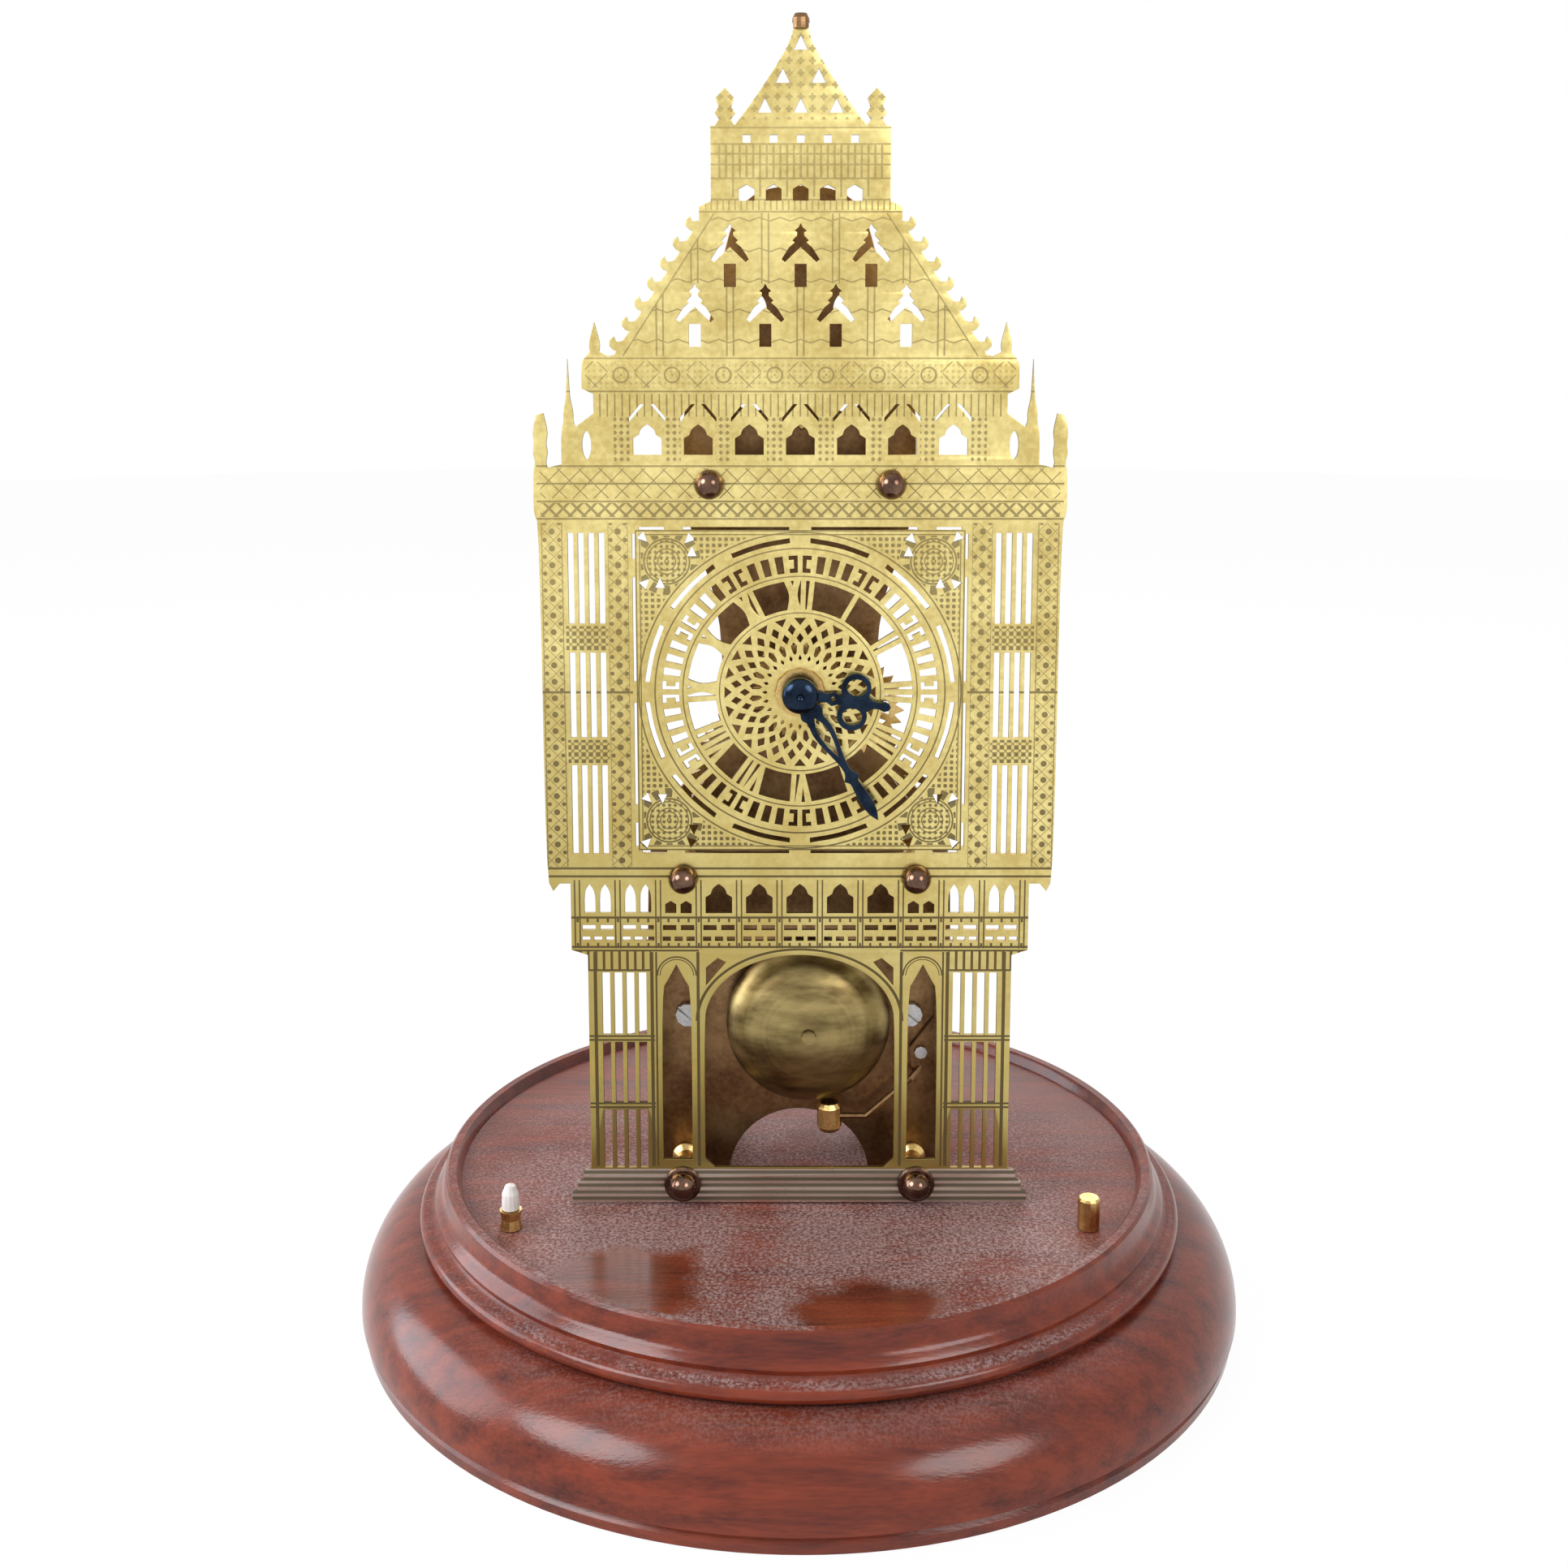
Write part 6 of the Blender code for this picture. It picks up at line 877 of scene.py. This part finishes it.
# %% [markdown]
# The rest of the movement keeps the shape of its solids: wheels, arbors, studs, screws and the spring barrel are
# already what they should be. They only need their metals: brass for wheels, grey steel for what turns in them,
# brown brass for the hammer's lever and the bead on the spire. One peg of the base has a pale rounded cap.

# %% Metals for the movement
dress(brass, "dial_bush", "bell_post", "barrel", "barrel_lid", "centre_wheel",
      "third_wheel", "fourth_wheel", "escape_wheel", "balance_wheel", "hour_wheel", "minute_wheel", "hammer_head",
      "left_peg", "right_peg")
dress(old_brass, "hammer_lever", "spire_bead")
dress(bell_metal, "bell_screw")
dress(steel, "plate_screw_left", "plate_screw_right", "base_bolt_left", "base_bolt_right",
      "hammer_stud", "minute_wheel_stud", "click_screw", "barrel_arbor", "click")
dress(arbor_steel, "centre_arbor", "pallet_arbor", "pallet_lever", "cannon_pinion", "mainspring")
dress(blued, "click_spring", "balance_spring")
cap_finish = Finish("pale_cap")
cap_clouds = cap_finish.noise(3 * mm, 3.0)
cap_finish.set(Base_Color=cap_finish.mix(cap_clouds, (0.50, 0.43, 0.40), (0.78, 0.74, 0.70)),
               Roughness=0.35 + cap_clouds * 0.15)
dress(cap_finish, "peg_cap")
print("dressed nodes:", sum(1 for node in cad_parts.values() if node.data.materials))

# %% [markdown]
# The photograph was taken from just above the bell, a little to the left, with the object on white. The camera
# stands at the place that makes the base's curves and the tower's edges fall where the picture has them. A
# vertical shift does the rest of the framing, so that the tower's sides stay nearly upright.

# %% Camera
lens = bpy.data.cameras.new("camera")
lens.lens, lens.sensor_width, lens.shift_y, lens.clip_start = 42.245, 36, -0.1131, 0.01
looking_down = 8.92
camera = bpy.data.objects.new("camera", lens)
camera.location = (-0.0042, -0.5044, 0.279)
camera.rotation_euler = (radians(90 - looking_down), 0, 0)
bpy.context.scene.collection.objects.link(camera)
bpy.context.scene.camera = camera
print("camera at", [round(v, 4) for v in camera.location])

# %% [markdown]
# Brass shows what stands round it. A pale world with soft lamps above and in front gives the plate its even glow,
# a low one at the left draws a pale gleam along the base, and the floor keeps a faint shadow. The floor and the
# world are white only for rays that the camera, a glossy surface or glass sends out, so that the white
# surroundings don't wash out the lamps' own light.

# %% Floor, world and lamps
def whitened(tree, lit, glow_kind, share, surface):
    """Mix a white glow into a lit shader, only for the rays of the camera, of mirrors and of glass."""
    nodes, links = tree.nodes, tree.links
    path, glow, blend = nodes.new("ShaderNodeLightPath"), nodes.new(glow_kind), nodes.new("ShaderNodeMixShader")
    glow.inputs["Color"].default_value, glow.inputs["Strength"].default_value = (1, 1, 1, 1), 1.0
    seen = path.outputs["Is Camera Ray"]
    for ray in ("Is Glossy Ray", "Is Transmission Ray"):
        either = nodes.new("ShaderNodeMath")
        either.operation = "MAXIMUM"
        links.new(seen, either.inputs[0])
        links.new(path.outputs[ray], either.inputs[1])
        seen = either.outputs[0]
    part = nodes.new("ShaderNodeMath")
    part.operation = "MULTIPLY"
    part.inputs[1].default_value = share
    links.new(seen, part.inputs[0])
    links.new(part.outputs[0], blend.inputs[0])
    links.new(lit.outputs[0], blend.inputs[1])
    links.new(glow.outputs[0], blend.inputs[2])
    links.new(blend.outputs[0], surface)


bpy.context.scene.view_settings.view_transform = "Standard"
world = bpy.data.worlds.new("studio")
bpy.context.scene.world = world
world.use_nodes = True
background = world.node_tree.nodes["Background"]
background.inputs["Color"].default_value = (0.95, 0.97, 1.0, 1)
background.inputs["Strength"].default_value = 0.5
whitened(world.node_tree, background, "ShaderNodeBackground", 1.0, world.node_tree.nodes["World Output"].inputs[0])

ground = bmesh.new()
bmesh.ops.create_circle(ground, cap_ends=True, segments=96, radius=3.0)
ground_mesh = bpy.data.meshes.new("floor")
ground.to_mesh(ground_mesh)
ground.free()
floor = bpy.data.objects.new("floor", ground_mesh)
bpy.context.scene.collection.objects.link(floor)
cloth = Finish("white_floor").set(Base_Color=(0.93, 0.93, 0.93), Roughness=0.9)
white_share = 0.965  # the rest is the lit cloth, which shows the shadow
whitened(cloth.material.node_tree, cloth.shader, "ShaderNodeEmission", white_share,
         cloth.nodes["Material Output"].inputs[0])
ground_mesh.materials.append(cloth.material)


def lamp(name, place, aim, size, power, tint=(1, 1, 1)):
    """A round soft lamp at a place, turned to face another."""
    light = bpy.data.lights.new(name, "AREA")
    light.shape, light.size, light.energy, light.color = "DISK", size, power, tint
    thing = bpy.data.objects.new(name, light)
    thing.location = place
    thing.rotation_euler = (Vector(aim) - Vector(place)).to_track_quat("-Z", "Y").to_euler()
    bpy.context.scene.collection.objects.link(thing)


lamp("window", (-1.15, -0.75, 0.95), (0, 0, 0.12), 0.9, 19, (0.93, 0.96, 1.0))
lamp("side", (-1.25, 0.15, 0.38), (-0.08, 0, 0.02), 1.0, 12, (0.88, 0.92, 1.0))
lamp("fill", (0.85, -0.95, 0.8), (0, 0, 0.15), 0.7, 8)
lamp("back", (0.1, 1.0, 1.0), (0, 0, 0.2), 0.8, 9)
print("lamps:", [light.name for light in bpy.data.lights])

# %% [markdown]
# The view layer is updated once more at the end.

# %% Update
bpy.context.view_layer.update()
